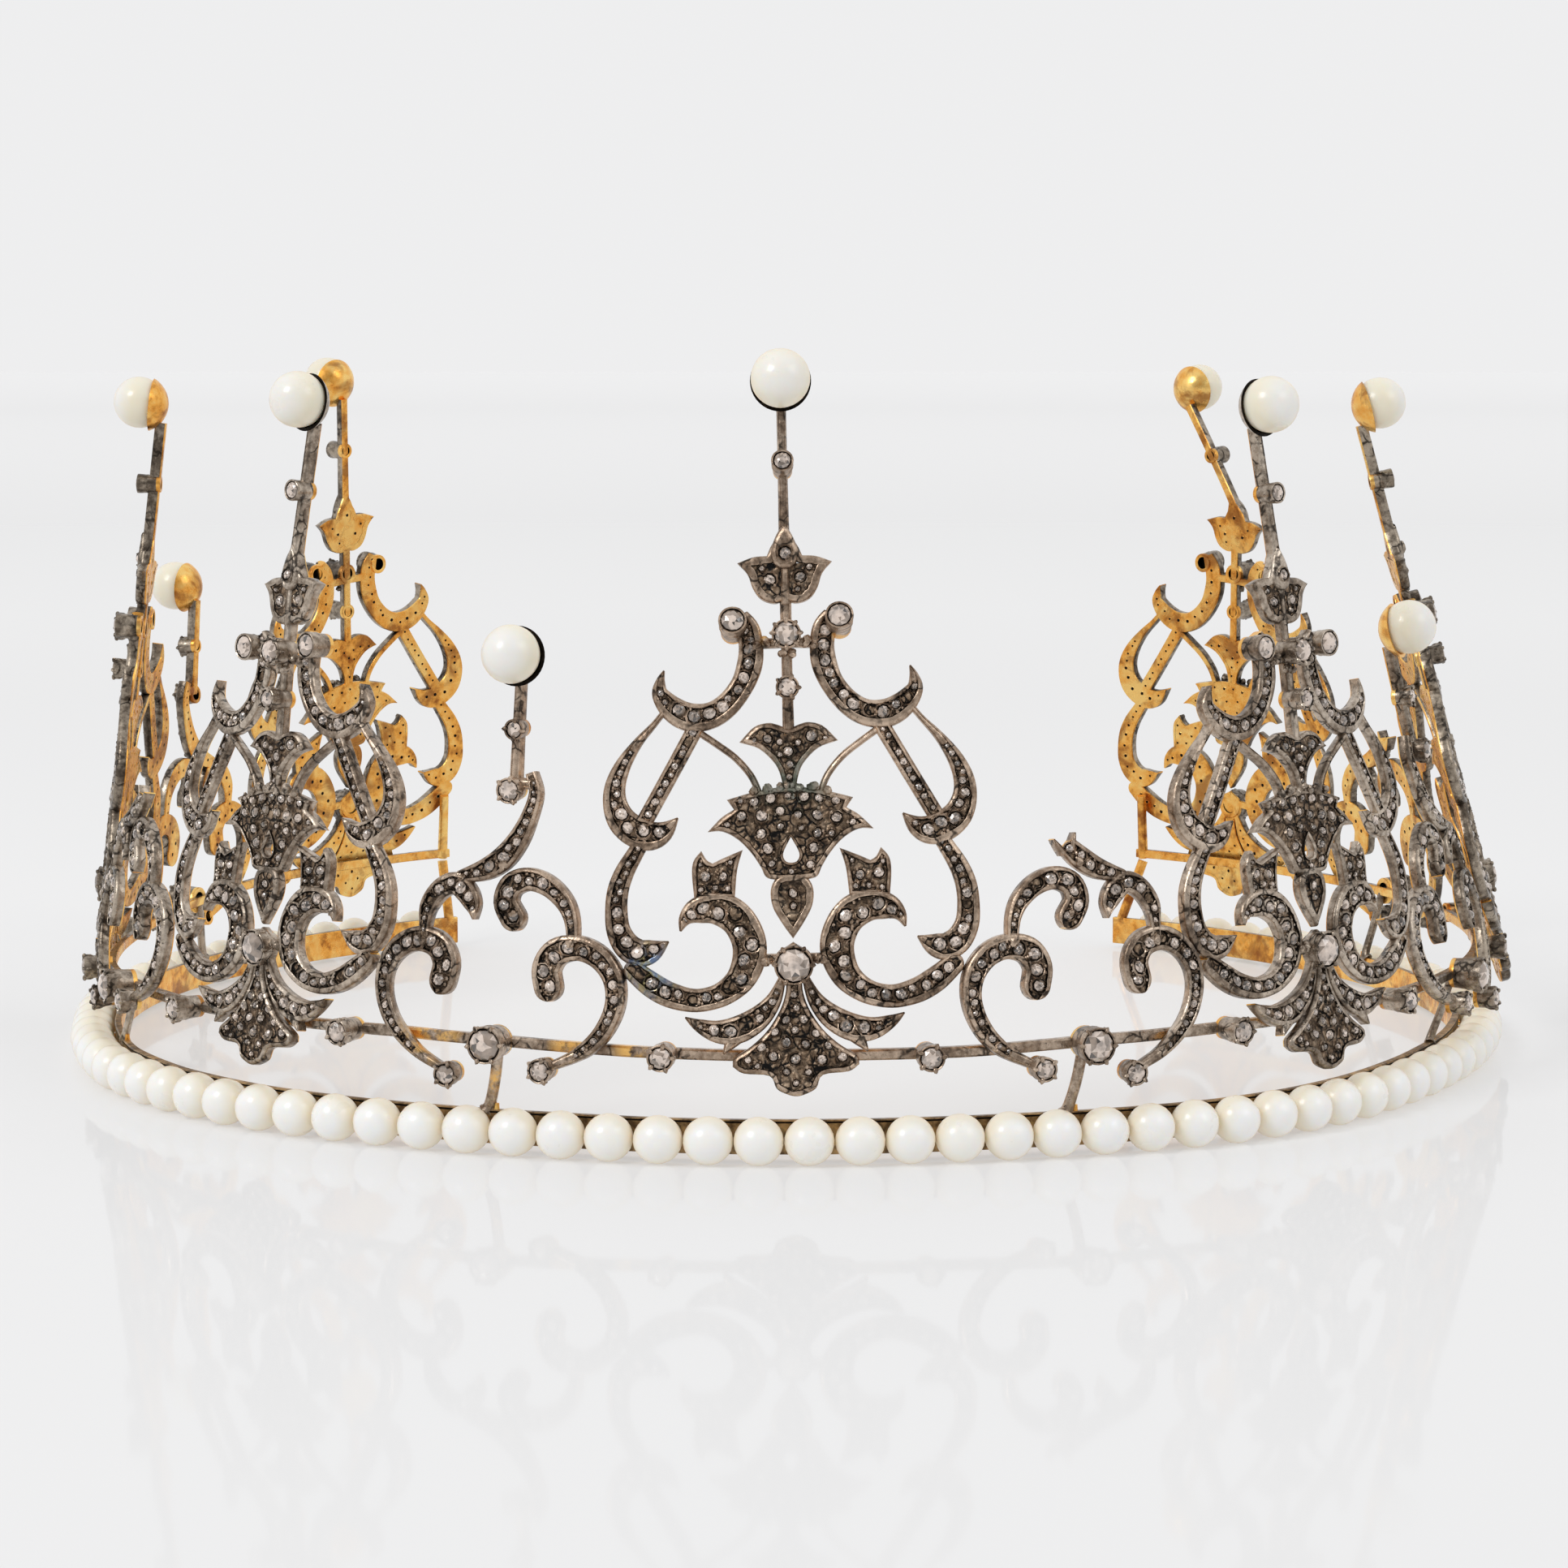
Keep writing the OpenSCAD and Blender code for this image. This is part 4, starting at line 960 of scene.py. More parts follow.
# Palmettes, in the measures of the part's source: strokes as x, height, half width of the right half
palmette = {
    "strokes": {
        "upperCrescent": [(4.6, 56.2, 0.8), (3.9, 54.8, 1.2), (3.6, 53.0, 1.25), (3.8, 51.1, 1.3),
            (4.6, 49.1, 1.2), (6.1, 47.2, 1.25), (7.9, 46.1, 1.35), (10.0, 46.0, 1.45), (11.7, 46.9, 1.3),
            (12.9, 48.4, 0.9), (12.9, 49.7, 0.5), (12.5, 50.8, 0.08)],
        "outerCrescent": [(12.6, 46.6, 0.3), (13.7, 45.3, 0.32), (15.3, 43.6, 0.5), (16.8, 41.5, 0.8),
            (17.7, 39.4, 1.05), (17.8, 37.5, 1.25), (17.1, 35.7, 1.5), (15.7, 34.5, 1.6),
            (14.1, 34.1, 1.5), (12.7, 34.6, 1.0), (11.4, 35.8, 0.08)],
        "slantBar": [(9.4, 44.9, 0.85), (12.1, 40.2, 0.85), (14.9, 35.4, 0.85)],
        "thinWire": [(8.9, 44.3, 0.35), (7.2, 43.1, 0.35), (5.4, 41.7, 0.35), (3.9, 39.9, 0.35),
            (3.1, 38.1, 0.35)],
        "lowerLimb": [(15.1, 33.5, 0.8), (15.8, 32.4, 0.85), (17.0, 30.4, 1.0), (17.7, 28.5, 1.1),
            (17.9, 26.5, 1.15), (17.7, 24.5, 1.25), (16.8, 22.9, 1.4), (15.5, 22.2, 1.4),
            (14.1, 22.5, 1.1), (12.6, 23.3, 0.08)],
        "bigScroll": [(11.4, 24.3, 0.1), (10.9, 25.5, 0.7), (9.8, 26.3, 1.3), (8.1, 26.6, 1.6),
            (6.5, 26.1, 1.75), (5.3, 25.0, 1.75), (4.5, 23.2, 1.75), (4.5, 21.4, 1.7), (5.3, 19.5, 1.5),
            (6.7, 18.2, 1.3), (8.3, 17.5, 1.2), (10.3, 17.3, 1.2), (12.6, 17.9, 1.3), (14.5, 19.0, 1.3),
            (16.2, 20.4, 1.1)],
        "sideLeaf": [(1.1, 19.7, 0.4), (1.3, 19.0, 0.45), (2.2, 17.0, 0.85), (3.8, 15.3, 1.25),
            (5.9, 14.2, 1.4), (7.9, 14.1, 1.15), (9.8, 14.8, 0.65), (11.1, 15.6, 0.08)],
        "leafSpur": [(5.6, 13.9, 0.9), (6.6, 12.8, 0.6), (7.3, 11.8, 0.1)]},
    # the middle strokes stand once: the stem over the tulip and under it, two links and the tulip's ridge
    "middle": {
        "upperStem": [(0, 63.5, 0.62), (0, 65.5, 0.55), (0, 72.0, 0.5), (0, 79.0, 0.5)],
        "lowerStem": [(0, 44.0, 0.6), (0, 51.0, 0.55), (0, 58.0, 0.6)],
        "upperLink": [(-2.7, 53.3, 0.55), (0, 53.3, 0.5), (2.7, 53.3, 0.55)],
        "lowerLink": [(-3.0, 21.3, 0.55), (0, 21.3, 0.55), (3.0, 21.3, 0.55)],
        "tulipRidge": [(0, 62.2, 0.34), (0, 60.0, 0.48), (0, 57.2, 0.55)]},
    # beads of solder: x, height, radius
    "lumps": [(2.0, 53.4, 0.55), (2.9, 53.0, 0.5), (0.4, 52.2, 0.5), (2.4, 21.4, 0.55), (3.0, 21.0, 0.5),
        (1.0, 38.6, 0.5), (2.3, 38.7, 0.55), (3.7, 38.3, 0.5), (0.2, 38.9, 0.4)],
    # rim, surface and depth of the field of a plain leaf, and where a leaf isn't like the others
    "plainLeaf": (leafRim["width"], onBed, leafRim["sunk"]),
    "finish": {"tulip": (0.80, onBed, 0.16), "bud": (0.6, onSilver, 0.02), "drop": (0.70, onBed, 0.16),
        "waist": (0.5, onSilver, 0.1), "middleTulip": (0.52, onBed, 0.2)},
    # the rim on the outside of a bend is the broader one; parts that pass under others are sunk
    "rims": {"upperCrescent": (2.0, 0.95), "bigScroll": (1.5, 0.95), "sideLeaf": (1.3, 0.9),
        "outerCrescent": (0.95, 1.6), "lowerLimb": (0.95, 1.5)},
    "sunk": {"outerCrescent": 0.06, "slantBar": 0.12, "thinWire": 0.16, "lowerLimb": 0.10,
        "bigScroll": 0.03, "sideLeaf": 0.06, "leafSpur": 0.10, "lowerStem": 0.12, "upperLink": 0.15,
        "lowerLink": 0.15},
    # outlines, right half, from end to end of the middle line; the left half mirrors them
    "leaves": {
        "bud": [(0, 65.9), (0.8, 64.6), (1.3, 63.2), (1.35, 62.2), (1.0, 61.3), (0, 60.9)],
        "tulip": [(0, 64.9), (1.2, 63.7), (1.8, 62.4), (3.2, 62.3), (4.8, 61.7), (3.8, 60.5), (3.3, 59.0),
            (2.5, 57.8), (1.2, 57.3), (0, 57.5)],
        "middleTulip": [(0, 44.6), (1.1, 45.0), (2.1, 45.2), (3.5, 44.8), (5.0, 43.3), (3.0, 42.6),
            (1.4, 41.0), (0.8, 39.4), (0.7, 38.0), (0, 38.0)],
        "drop": [(0, 29.9), (1.5, 29.5), (2.15, 28.3), (2.0, 26.6), (1.1, 24.9), (0, 23.3)],
        "waist": [(0, 23.0), (0.6, 22.6), (1.6, 22.0), (2.0, 20.8), (1.6, 19.6), (0.9, 19.0), (0, 18.9)],
        "foot": [(0, 19.2), (0.8, 19.0), (0.9, 17.8), (1.5, 16.1), (2.8, 14.1), (4.4, 12.6), (6.2, 11.4),
            (6.4, 10.5), (5.3, 9.8), (2.7, 9.5), (2.0, 8.2), (0.9, 7.6), (0, 7.4)]},
    # the thistle's right half runs round its hole
    "thistle": [(0, 38.7), (2.4, 38.5), (4.2, 38.1), (6.4, 37.5), (5.7, 36.5), (7.0, 35.7), (8.4, 34.3),
        (6.9, 34.3), (5.3, 33.4), (4.0, 32.0), (3.1, 30.6), (2.6, 29.6), (1.6, 29.3), (0, 29.3)],
    "thistleHole": [(0, 33.6), (0.8, 32.0), (0.6, 31.2), (0, 31.0)],
    "crown": [(9.9, 27.4), (10.1, 30.0), (9.9, 31.4), (9.1, 32.4), (8.6, 31.5), (8.0, 31.1), (6.9, 31.6),
        (4.9, 32.4), (5.5, 30.4), (5.8, 27.6)],
    # stones of the leaves: x, height, radius
    "stones": {
        "tulip": [(0, 62.6, 0.56), (-1.5, 59.8, 0.56), (1.6, 60.0, 0.52), (2.5, 61.1, 0.3),
            (-2.4, 61.0, 0.28), (1.3, 58.7, 0.26)],
        "middleTulip": [(-2.1, 43.6, 0.42), (2.3, 43.7, 0.54), (0, 42.2, 0.46), (0.1, 40.9, 0.36),
            (-0.9, 43.2, 0.3), (0.9, 43.2, 0.3), (3.7, 43.5, 0.26), (-3.5, 43.4, 0.28), (-1.0, 41.9, 0.26),
            (0, 39.6, 0.3)],
        "thistle": [(-5.0, 37.3, 0.3), (-3.6, 37.3, 0.44), (-1.9, 37.6, 0.48), (-0.2, 37.8, 0.34),
            (1.4, 37.6, 0.5), (3.0, 37.5, 0.4), (4.6, 37.2, 0.42), (-4.9, 35.8, 0.46), (-2.9, 35.8, 0.54),
            (-1.1, 36.2, 0.42), (0.8, 35.9, 0.4), (2.7, 35.7, 0.52), (4.6, 35.5, 0.5), (6.3, 35.0, 0.32),
            (-6.4, 35.0, 0.3), (-3.0, 34.0, 0.5), (2.7, 33.9, 0.46), (4.2, 33.9, 0.34), (-1.1, 34.6, 0.34),
            (-2.3, 32.5, 0.5), (2.2, 32.4, 0.46), (1.1, 34.4, 0.3), (-1.9, 30.9, 0.36), (1.9, 30.8, 0.4),
            (0, 30.1, 0.3)],
        "drop": [(0, 27.9, 0.44), (0.1, 26.6, 0.34)],
        "crown": [(6.9, 29.7, 0.44), (8.8, 29.8, 0.5), (7.8, 28.6, 0.3), (9.2, 28.4, 0.28),
            (6.5, 28.5, 0.28), (9.2, 31.0, 0.24), (6.2, 31.1, 0.26)],
        "foot": [(0, 17.7, 0.38), (0.1, 16.4, 0.34), (-0.9, 15.2, 0.42), (0.9, 15.2, 0.42),
            (0, 14.1, 0.36), (-2.1, 13.9, 0.42), (2.1, 13.8, 0.42), (-0.9, 12.8, 0.46), (1.0, 12.6, 0.42),
            (-3.5, 12.5, 0.44), (3.3, 12.5, 0.4), (-2.3, 11.5, 0.46), (-4.9, 11.2, 0.34),
            (4.7, 11.3, 0.46), (0.0, 11.2, 0.5), (2.6, 11.1, 0.46), (-3.9, 10.5, 0.28), (-1.0, 9.9, 0.34),
            (1.2, 9.8, 0.34), (0, 8.7, 0.3)]},
    # collets: x, height, outer radius, stand-out, claws, droop
    "collets": [(0, 71.7, 1.15, 2.2, 0, -12), (-5.4, 54.7, 1.45, 2.4, 0, -16),
        (5.4, 55.0, 1.45, 2.4, 0, -16), (0, 54.2, 1.5, 2.1, 8, 4), (0, 48.8, 1.2, 1.9, 5, 4),
        (0, 20.8, 2.0, 1.0, 6, 8)],
    "pearl": (0, 81.1),
    # the stem is stretched and bent over these heights
    "stemFrom": 58, "bendFrom": 64, "budLift": 0.3, "onBud": -0.28, "budFrom": 62, "crownRim": 0.42,
    "fuller": 1.1,
    # the raised collets of all but the front palmette stand out less and droop
    "shorter": 0.8, "ownDroop": 5,
    "strutsAt": 4, "strutIn": 0.65, "strutRadius": 0.5}

# name, angle, lean, tilt, size, stretch and bend of the stem, height of the pivot, distance out of the rail
palmettes = [("left_3", -133.9, 8.1, 7.0, 0.955, 0.98, 0, 11.5, 0.0),
             ("left_2", -89.2, 7.2, 2.2, 0.930, 1.07, 0, 8.8, 0.0),
             ("left_1", -43.6, 9.1, -2.4, 0.940, 1.06, 5, 9.6, 0.0),
             ("front", 0.0, 9.1, -1.3, 0.995, 0.95, 0, 10.7, 0.0),
             ("right_1", 42.6, 10.3, 1.4, 0.950, 1.02, -4, 9.4, 0.15),
             ("right_2", 89.0, 15.6, -2.0, 0.980, 0.95, 0, 9.4, 1.8),
             ("right_3", 134.5, 7.7, -6.5, 0.950, 0.90, 29, 11.5, 0.0)]
stemPearls = []
bigStones = {name: bmesh.new() for name in ("palmette_stones", "spray_stones", "rail_stones")}


def lifter(size, stretch, bendBy):
    # from the drawing to one palmette's own size, with its stem longer or shorter and bent
    def lift(p):
        x, z, foot = p[0], p[1], palmette["stemFrom"]
        tall = z if z < foot else foot + (z - foot) * stretch
        if z > palmette["bendFrom"]:
            x += (z - palmette["bendFrom"]) * math.tan(math.radians(bendBy))
        return (x * size, ring["pivot"] + (tall - ring["pivot"]) * size, *[v * size for v in p[2:]])
    return lift


def bothHalves(points):
    return points + [(-x, z) for x, z in reversed(points) if x > 0.001]


def bendPlate(bm):
    # bends what was drawn flat to the ring's curve
    for v in bm.verts:
        v.co.y += bend(v.co.x)


def addPalmetteStrokes(metal, stones, lift, number):
    for k, (label, rows) in enumerate(palmette["strokes"].items()):
        sunk = palmette["sunk"].get(label, 0)
        for s in (1, -1):
            rims = palmette["rims"].get(label, (1, 1))[::s]
            placed = [lift((x * s, z, w)) for x, z, w in rows]
            caps = "end" if label == "bigScroll" else ""
            addStroke(metal, placed, number + k * 0.37 + s, caps, rims, sunk)
            if label not in ("thinWire", "leafSpur"):
                paveStroke(metal, stones, placed, number * 1000 + k * 10 + s, (0.7, 0.5), rims, sunk)
    for label, rows in palmette["middle"].items():
        addStroke(metal, [lift(p) for p in rows], number + 5.5, sunk=palmette["sunk"].get(label, 0))


def addPalmetteLeaves(metal, lift):
    for label, outline in palmette["leaves"].items():
        broad, field, sunk = palmette["finish"].get(label, palmette["plainLeaf"])
        raised = palmette["budLift"] if label == "bud" else 0.0
        addLeaf(metal, [lift(p) for p in bothHalves(outline)], broad, field=field, sunk=sunk, lift=raised)
    hole = [lift(p) for p in bothHalves(palmette["thistleHole"])]
    addLeaf(metal, [lift(p) for p in bothHalves(palmette["thistle"])], hole=hole)
    for s in (1, -1):
        addLeaf(metal, [lift((x * s, z)) for x, z in palmette["crown"]], palmette["crownRim"])


def setLeafStones(metal, stones, lift, size, dice):
    for label, spots in palmette["stones"].items():
        field = palmette["finish"].get(label, palmette["plainLeaf"])[2]
        for s in ((1, -1) if label == "crown" else (1,)):
            for x, z, r in spots:
                x2, z2 = lift((x * s + dice.uniform(-0.08, 0.08), z + dice.uniform(-0.08, 0.08)))[:2]
                # the tulip's highest stone lies on its raised bud
                depth = palmette["onBud"] if z > palmette["budFrom"] else field
                grains = 3 if depth > 0.2 else 1
                setStone(metal, stones, dice, x2, z2, r * size * palmette["fuller"], grains, front + depth)


def setPalmetteCollets(metal, lift, name, place, dice):
    for x, z, r, stand, claws, droop in palmette["collets"]:
        if droop < 0 and name != "front":
            stand, droop = stand - palmette["shorter"], palmette["ownDroop"]
        seat, length = plateCollet(*lift((x, z))[:2], stand, droop)
        whole = bmesh.new()
        addCollet(metal, whole, seat, r, length, claws, dice)
        pour(bigStones["palmette_stones"], whole, place)


def addStruts(metal, out):
    # two short rods behind a plate that stands out from the rail
    for x in (-palmette["strutsAt"], palmette["strutsAt"]):
        rod, depth = bmesh.new(), out + palmette["strutIn"]
        bmesh.ops.create_cone(rod, cap_ends=True, segments=14, radius1=palmette["strutRadius"],
                              radius2=palmette["strutRadius"], depth=depth)
        pour(metal, rod, move(x, bend(x) + depth / 2, ring["pivot"] + 2) @ turn(-90, "X"))


def finishPlate(node, metal, stones, place):
    finish(node + "_openwork", metal, metals, [node], place)
    finish(node + "_small_stones", stones, paintedFacetShades, (), place, flat=True)


def makePalmette(row, number):
    name, angle, lean, tilt, size, stretch, bendBy, height, out = row
    lift, dice = lifter(size, stretch, bendBy), random.Random(100 + number)
    metal, stones = bmesh.new(), bmesh.new()
    place = standUp(angle, lean, tilt, height, out)
    addPalmetteStrokes(metal, stones, lift, number)
    addPalmetteLeaves(metal, lift)
    lumps = [(*lift((x * s, z))[:2], r) for x, z, r in palmette["lumps"] for s in (1, -1)]
    addLumps(metal, [(x, front + 0.12, z, r) for x, z, r in lumps], number + 40)
    setLeafStones(metal, stones, lift, size, dice)
    bendPlate(metal)
    bendPlate(stones)
    setPalmetteCollets(metal, lift, name, place, dice)
    px, pz = lift(palmette["pearl"])[:2]
    addCup(metal, px, pz, angle)
    if out > 0.5:
        addStruts(metal, out)
    finishPlate("palmette_" + name, metal, stones, place)
    stemPearls.append(("top_pearl_" + name, place @ outward(px, pz, -cup["stand"])))


for number, row in enumerate(palmettes):
    makePalmette(row, number)
print("palmettes made")

# Sprays, stem to the right, in the part's measures: x, height, half width
spray = {
    "lowerScroll": [(6.1, 17.8, 1.5), (5.8, 19.7, 1.5), (6.9, 21.4, 1.45), (9.2, 21.9, 1.3),
        (11.4, 21.1, 1.2), (12.9, 19.4, 1.1), (13.4, 17.4, 1.0), (13.1, 15.4, 0.95), (12.1, 13.4, 0.9),
        (10.5, 11.7, 0.8), (8.5, 10.2, 0.62), (6.2, 9.1, 0.5), (4.9, 8.6, 0.45)],
    "shortTail": [(10.7, 11.9, 0.8), (9.2, 10.9, 0.62), (7.5, 10.1, 0.5), (6.2, 9.6, 0.45)],
    "hookScroll": [(-8.5, 21.6, 0.6), (-8.5, 23.6, 0.7), (-8.2, 25.4, 1.0), (-6.9, 27.1, 1.1),
        (-5.2, 27.8, 1.15), (-3.8, 27.0, 1.2), (-2.9, 25.6, 0.9), (-2.6, 24.2, 0.1)],
    "bulbScroll": [(1.8, 24.6, 1.4), (0.9, 26.2, 1.35), (1.5, 27.9, 1.3), (3.4, 28.6, 1.2),
        (5.6, 28.0, 1.1), (7.4, 26.5, 0.95), (8.3, 24.7, 0.75), (8.6, 22.4, 0.6)],
    "wholeStem": [(3.0, 39.4, 0.6), (3.6, 37.4, 0.7), (3.0, 35.0, 0.85), (1.9, 32.6, 1.1),
        (0.3, 30.6, 1.25), (-1.8, 29.3, 1.1), (-4.6, 28.5, 0.6)],
    "wholeTop": [(1.3, 37.9, 0.62), (1.3, 43.0, 0.55), (1.3, 49.7, 0.5)],
    "wholeLink": [(0.9, 38.3, 0.6), (3.1, 38.3, 0.6)],
    "lowerRims": (0.95, 1.3),
    "horns": [[(1.2, 31.3, 0.4), (1.0, 32.3, 0.3), (0.8, 33.1, 0.1)], [(2.1, 31.0, 0.42), (2.7, 31.8, 0.3),
        (3.2, 32.5, 0.1)]],
    "brokenStem": [(1.7, 31.9, 1.0), (0.3, 30.6, 1.2), (-1.8, 29.3, 1.1), (-4.6, 28.5, 0.6)],
    "collets": [(-4.5, 8.5, 1.3, 1.1, 5), (6.2, 9.5, 1.3, 1.1, 5)],
    "stemCollets": [(1.2, 37.7, 1.35, 1.1, 5), (1.4, 43.9, 1.1, 0.9, 4)],
    "lumps": [(-8.5, 21.7, 0.5), (8.5, 22.3, 0.5), (0.6, 29.9, 0.5), (1.9, 24.9, 0.45)],
    "pearl": (1.3, 51.3)}
# name, angle, lean, width, height of the pivot, which way the stem stands, whole or broken
sprays = [("left_3", -111.0, 3.5, 0.94, 11.3, 1, True), ("left_2", -66.6, 8.0, 0.96, 11.1, 1, False),
          ("left_1", -22.0, 7.5, 0.98, 10.7, 1, True), ("right_1", 21.3, 8.0, 0.94, 10.9, -1, False),
          ("right_2", 65.8, 14.0, 1.00, 11.0, -1, True), ("right_3", 111.8, 7.0, 0.97, 11.3, -1, False)]


def addSprayScrolls(metal, stones, wide, number, whole):
    def widen(rows, s=1):
        return [(x * wide * s, z, w) for x, z, w in rows]
    lower, rims = spray["lowerScroll"], spray["lowerRims"]
    # the lower scroll on the stem's side ends in a shorter tail
    for s, rows in ((1, lower[:9] + spray["shortTail"]), (-1, lower)):
        addStroke(metal, widen(rows, s), number + s, "start", rims[::s])
        paveStroke(metal, stones, widen(rows, s), number * 50 + s, (-0.1, 1.6), rims[::s])
    addStroke(metal, widen(spray["hookScroll"]), number + 3)
    paveStroke(metal, stones, widen(spray["hookScroll"]), number * 50 + 7, (1.0, 0.3))
    addStroke(metal, widen(spray["bulbScroll"]), number + 4, "start")
    paveStroke(metal, stones, widen(spray["bulbScroll"]), number * 50 + 8, (0.0, 1.0))
    stem = spray["wholeStem"] if whole else spray["brokenStem"]
    addStroke(metal, stem, number + 5)
    paveStroke(metal, stones, stem, number * 50 + 9, (0.5, 0.6))


def makeSpray(row, number):
    name, angle, lean, wide, height, way, whole = row
    dice, metal, stones = random.Random(300 + number), bmesh.new(), bmesh.new()
    place = standUp(angle, lean, 0, height, 0.0, way)
    addSprayScrolls(metal, stones, wide, number, whole)
    if whole:
        addStroke(metal, spray["wholeTop"], number + 6)
        addStroke(metal, spray["wholeLink"], number + 7)
        addCup(metal, *spray["pearl"], angle)
        stemPearls.append(("spray_pearl_" + name, place @ outward(*spray["pearl"], -cup["stand"])))
    else:
        # the stem has broken off and leaves two small horns
        for tip in spray["horns"]:
            addStroke(metal, tip, number + 8)
    addLumps(metal, [(x * wide, front + 0.15, z, r) for x, z, r in spray["lumps"]], number + 60)
    bendPlate(metal)
    bendPlate(stones)
    collets = [(x * wide, *rest) for x, *rest in spray["collets"]] + (spray["stemCollets"] if whole else [])
    for x, z, r, stand, claws in collets:
        seat, length = plateCollet(x, z, stand)
        big = bmesh.new()
        addCollet(metal, big, seat, r, length, claws, dice)
        pour(bigStones["spray_stones"], big, place)
    finishPlate("spray_" + name, metal, stones, place)


for number, row in enumerate(sprays):
    makeSpray(row, number)
print("sprays made")

# Pearls of the stems, one piece each, a little out of round, each pole with its hole turned to the cup
stemPearl = {"radius": 3.0, "hole": 0.5, "segments": 48, "rings": 32, "sharp": 60}


def makeStemPearls(b):
    for number, (node, matrix) in enumerate(stemPearls):
        bm = bmesh.new()
        pearlShape(b["radius"], b["segments"], b["rings"], b["hole"], number * 3.7)(bm)
        finish(node + "_lustre", bm, [stemPearlFinish], [node], matrix, sharp=b["sharp"])


makeStemPearls(stemPearl)
print("stem pearls made")

# The row of band pearls, each size a share of the radius along the ring, across it and up
bandPearls = {"radius": 2.5, "hole": 0.42, "segments": 26, "rings": 16, "kinds": 5, "sharp": 60,
              "along": (1.010, 1.023), "across": (0.985, 1.0)}
pearlAngles = pearlSide(-1)[::-1] + pearlSide(1)


def makeBandPearls(b):
    dice, bm = random.Random(11), bmesh.new()
    measures = b["radius"], b["segments"], b["rings"], b["hole"]
    kinds = [template(pearlShape(*measures, 9.1 * k)) for k in range(b["kinds"])]
    for angle in pearlAngles:
        place = turn(angle, "Z") @ move(0, -ringRadius(angle), b["radius"])
        spin = turn(90, "X") @ anyTurn(dice)
        size = swell(dice.uniform(*b["along"]), dice.uniform(*b["across"]), dice.uniform(*b["across"]))
        stamp(bm, dice.choice(kinds), place @ size @ spin)
    finish("band_pearls_lustre", bm, [bandPearlFinish], ["band_pearls"], sharp=b["sharp"])


makeBandPearls(bandPearls)

# The strip behind the band pearls, with a peg for each. The ends run past the last pearls, in degrees
band = {"pastPearls": 1.5, "chamfer": 0.12, "lipOut": 0.05, "lipFrom": 0.45, "lipFull": 0.32,
        "lipRound": 0.08, "peg": 0.36, "pegLength": 2.4, "pegIn": 1.0}
bandEnds = pearlAngles[0] - halfStep - band["pastPearls"], pearlAngles[-1] + halfStep + band["pastPearls"]


def bandPoint(angle, inset, z):
    a, r = math.radians(angle), ringRadius(angle) - inset
    return Vector((r * math.sin(a), -r * math.cos(a), z))


def makeBand(strip):
    # its outside is dark bronze behind the pearls, its inside gold, with a fine raised edge at the top
    # whose underside is painted black as shade
    r0, r1, low, high = ring["inset"], ring["inset"] + ring["bandThick"], ring["bandFoot"], ring["bandTop"]
    lip, cut, soft = r0 - strip["lipOut"], strip["chamfer"], strip["lipRound"]
    outside = [(r0 + cut, low), (r0, low + cut), (r0, high - strip["lipFrom"])]
    raised = [(lip, high - strip["lipFull"]), (lip, high - cut), (r0 + soft, high), (r1 - soft, high)]
    section = outside + raised + [(r1, high - cut), (r1, low + cut), (r1 - cut, low)]
    onBronze = len(metals)
    marks = [onBronze] * 3 + [onDirtAndShade] + [onBronze] * 2 + [onGold] * 4
    middles = [(a + b) / 2 for a, b in zip(pearlAngles, pearlAngles[1:])]
    (first, last), past = bandEnds, strip["pastPearls"]
    corners = [first, first + past, *middles, last - past, last]
    stations = [a + (b - a) * k / 3 for a, b in zip(corners, corners[1:]) for k in range(3)] + [corners[-1]]

    def at(i):
        return [bandPoint(stations[i], inset, z) for inset, z in section], marks
    bm, part = bmesh.new(), bmesh.new()
    sweep(part, stations, at)
    pour(bm, part)
    for angle in pearlAngles:
        peg = bmesh.new()
        bmesh.ops.create_cone(peg, cap_ends=True, segments=10, radius1=strip["peg"], radius2=strip["peg"],
                              depth=strip["pegLength"])
        mark(peg, onGold)
        spot = move(0, r0 - strip["pegIn"] - ringRadius(angle), bandPearls["radius"])
        pour(bm, peg, turn(angle, "Z") @ spot @ turn(90, "X"))
    finish("band_strip", bm, metals + [bronze], ["band"])


makeBand(band)

# The rail on its posts. Its collets: angle, radius, stand-out, claws
rail = {"endTop": 21.0, "stations": 300, "wander": 0.05, "bySide": 9.3, "lastCollet": 139.5,
        "plateGap": 0.65}
smallCollet = {"radius": 1.4, "stand": 1.1, "backStand": 0.9, "claws": 5}
largeCollet = {"radius": 1.95, "stand": 1.2, "claws": 6}
railCollets = []
for middle in [row[1] for row in palmettes]:
    stand = smallCollet["backStand"] if abs(middle) > 80 else smallCollet["stand"]
    for angle in (middle - rail["bySide"], middle + rail["bySide"]):
        if abs(angle) < rail["lastCollet"]:
            railCollets.append((angle, smallCollet["radius"], stand, smallCollet["claws"]))
for row in sprays:
    railCollets.append((row[1], largeCollet["radius"], largeCollet["stand"], largeCollet["claws"]))
# a post stands on the band with a foot bent to the left and a little gold beside it
post = {"foot": 0.4, "sunk": 0.25, "radii": [0.95, 0.66, 0.62, 0.64], "flat": 0.7,
        "goldRadii": [0.34, 0.22]}
endPost = {"sunk": 0.2, "in": 0.8, "railIn": 0.6, "radius": 0.66, "under": 1.0, "from": 0.6, "lean": 1.3}


def railPoint(angle, radius, z):
    a = math.radians(angle)
    return Vector((ring["shift"] + radius * math.sin(a), -radius * math.cos(a), z))


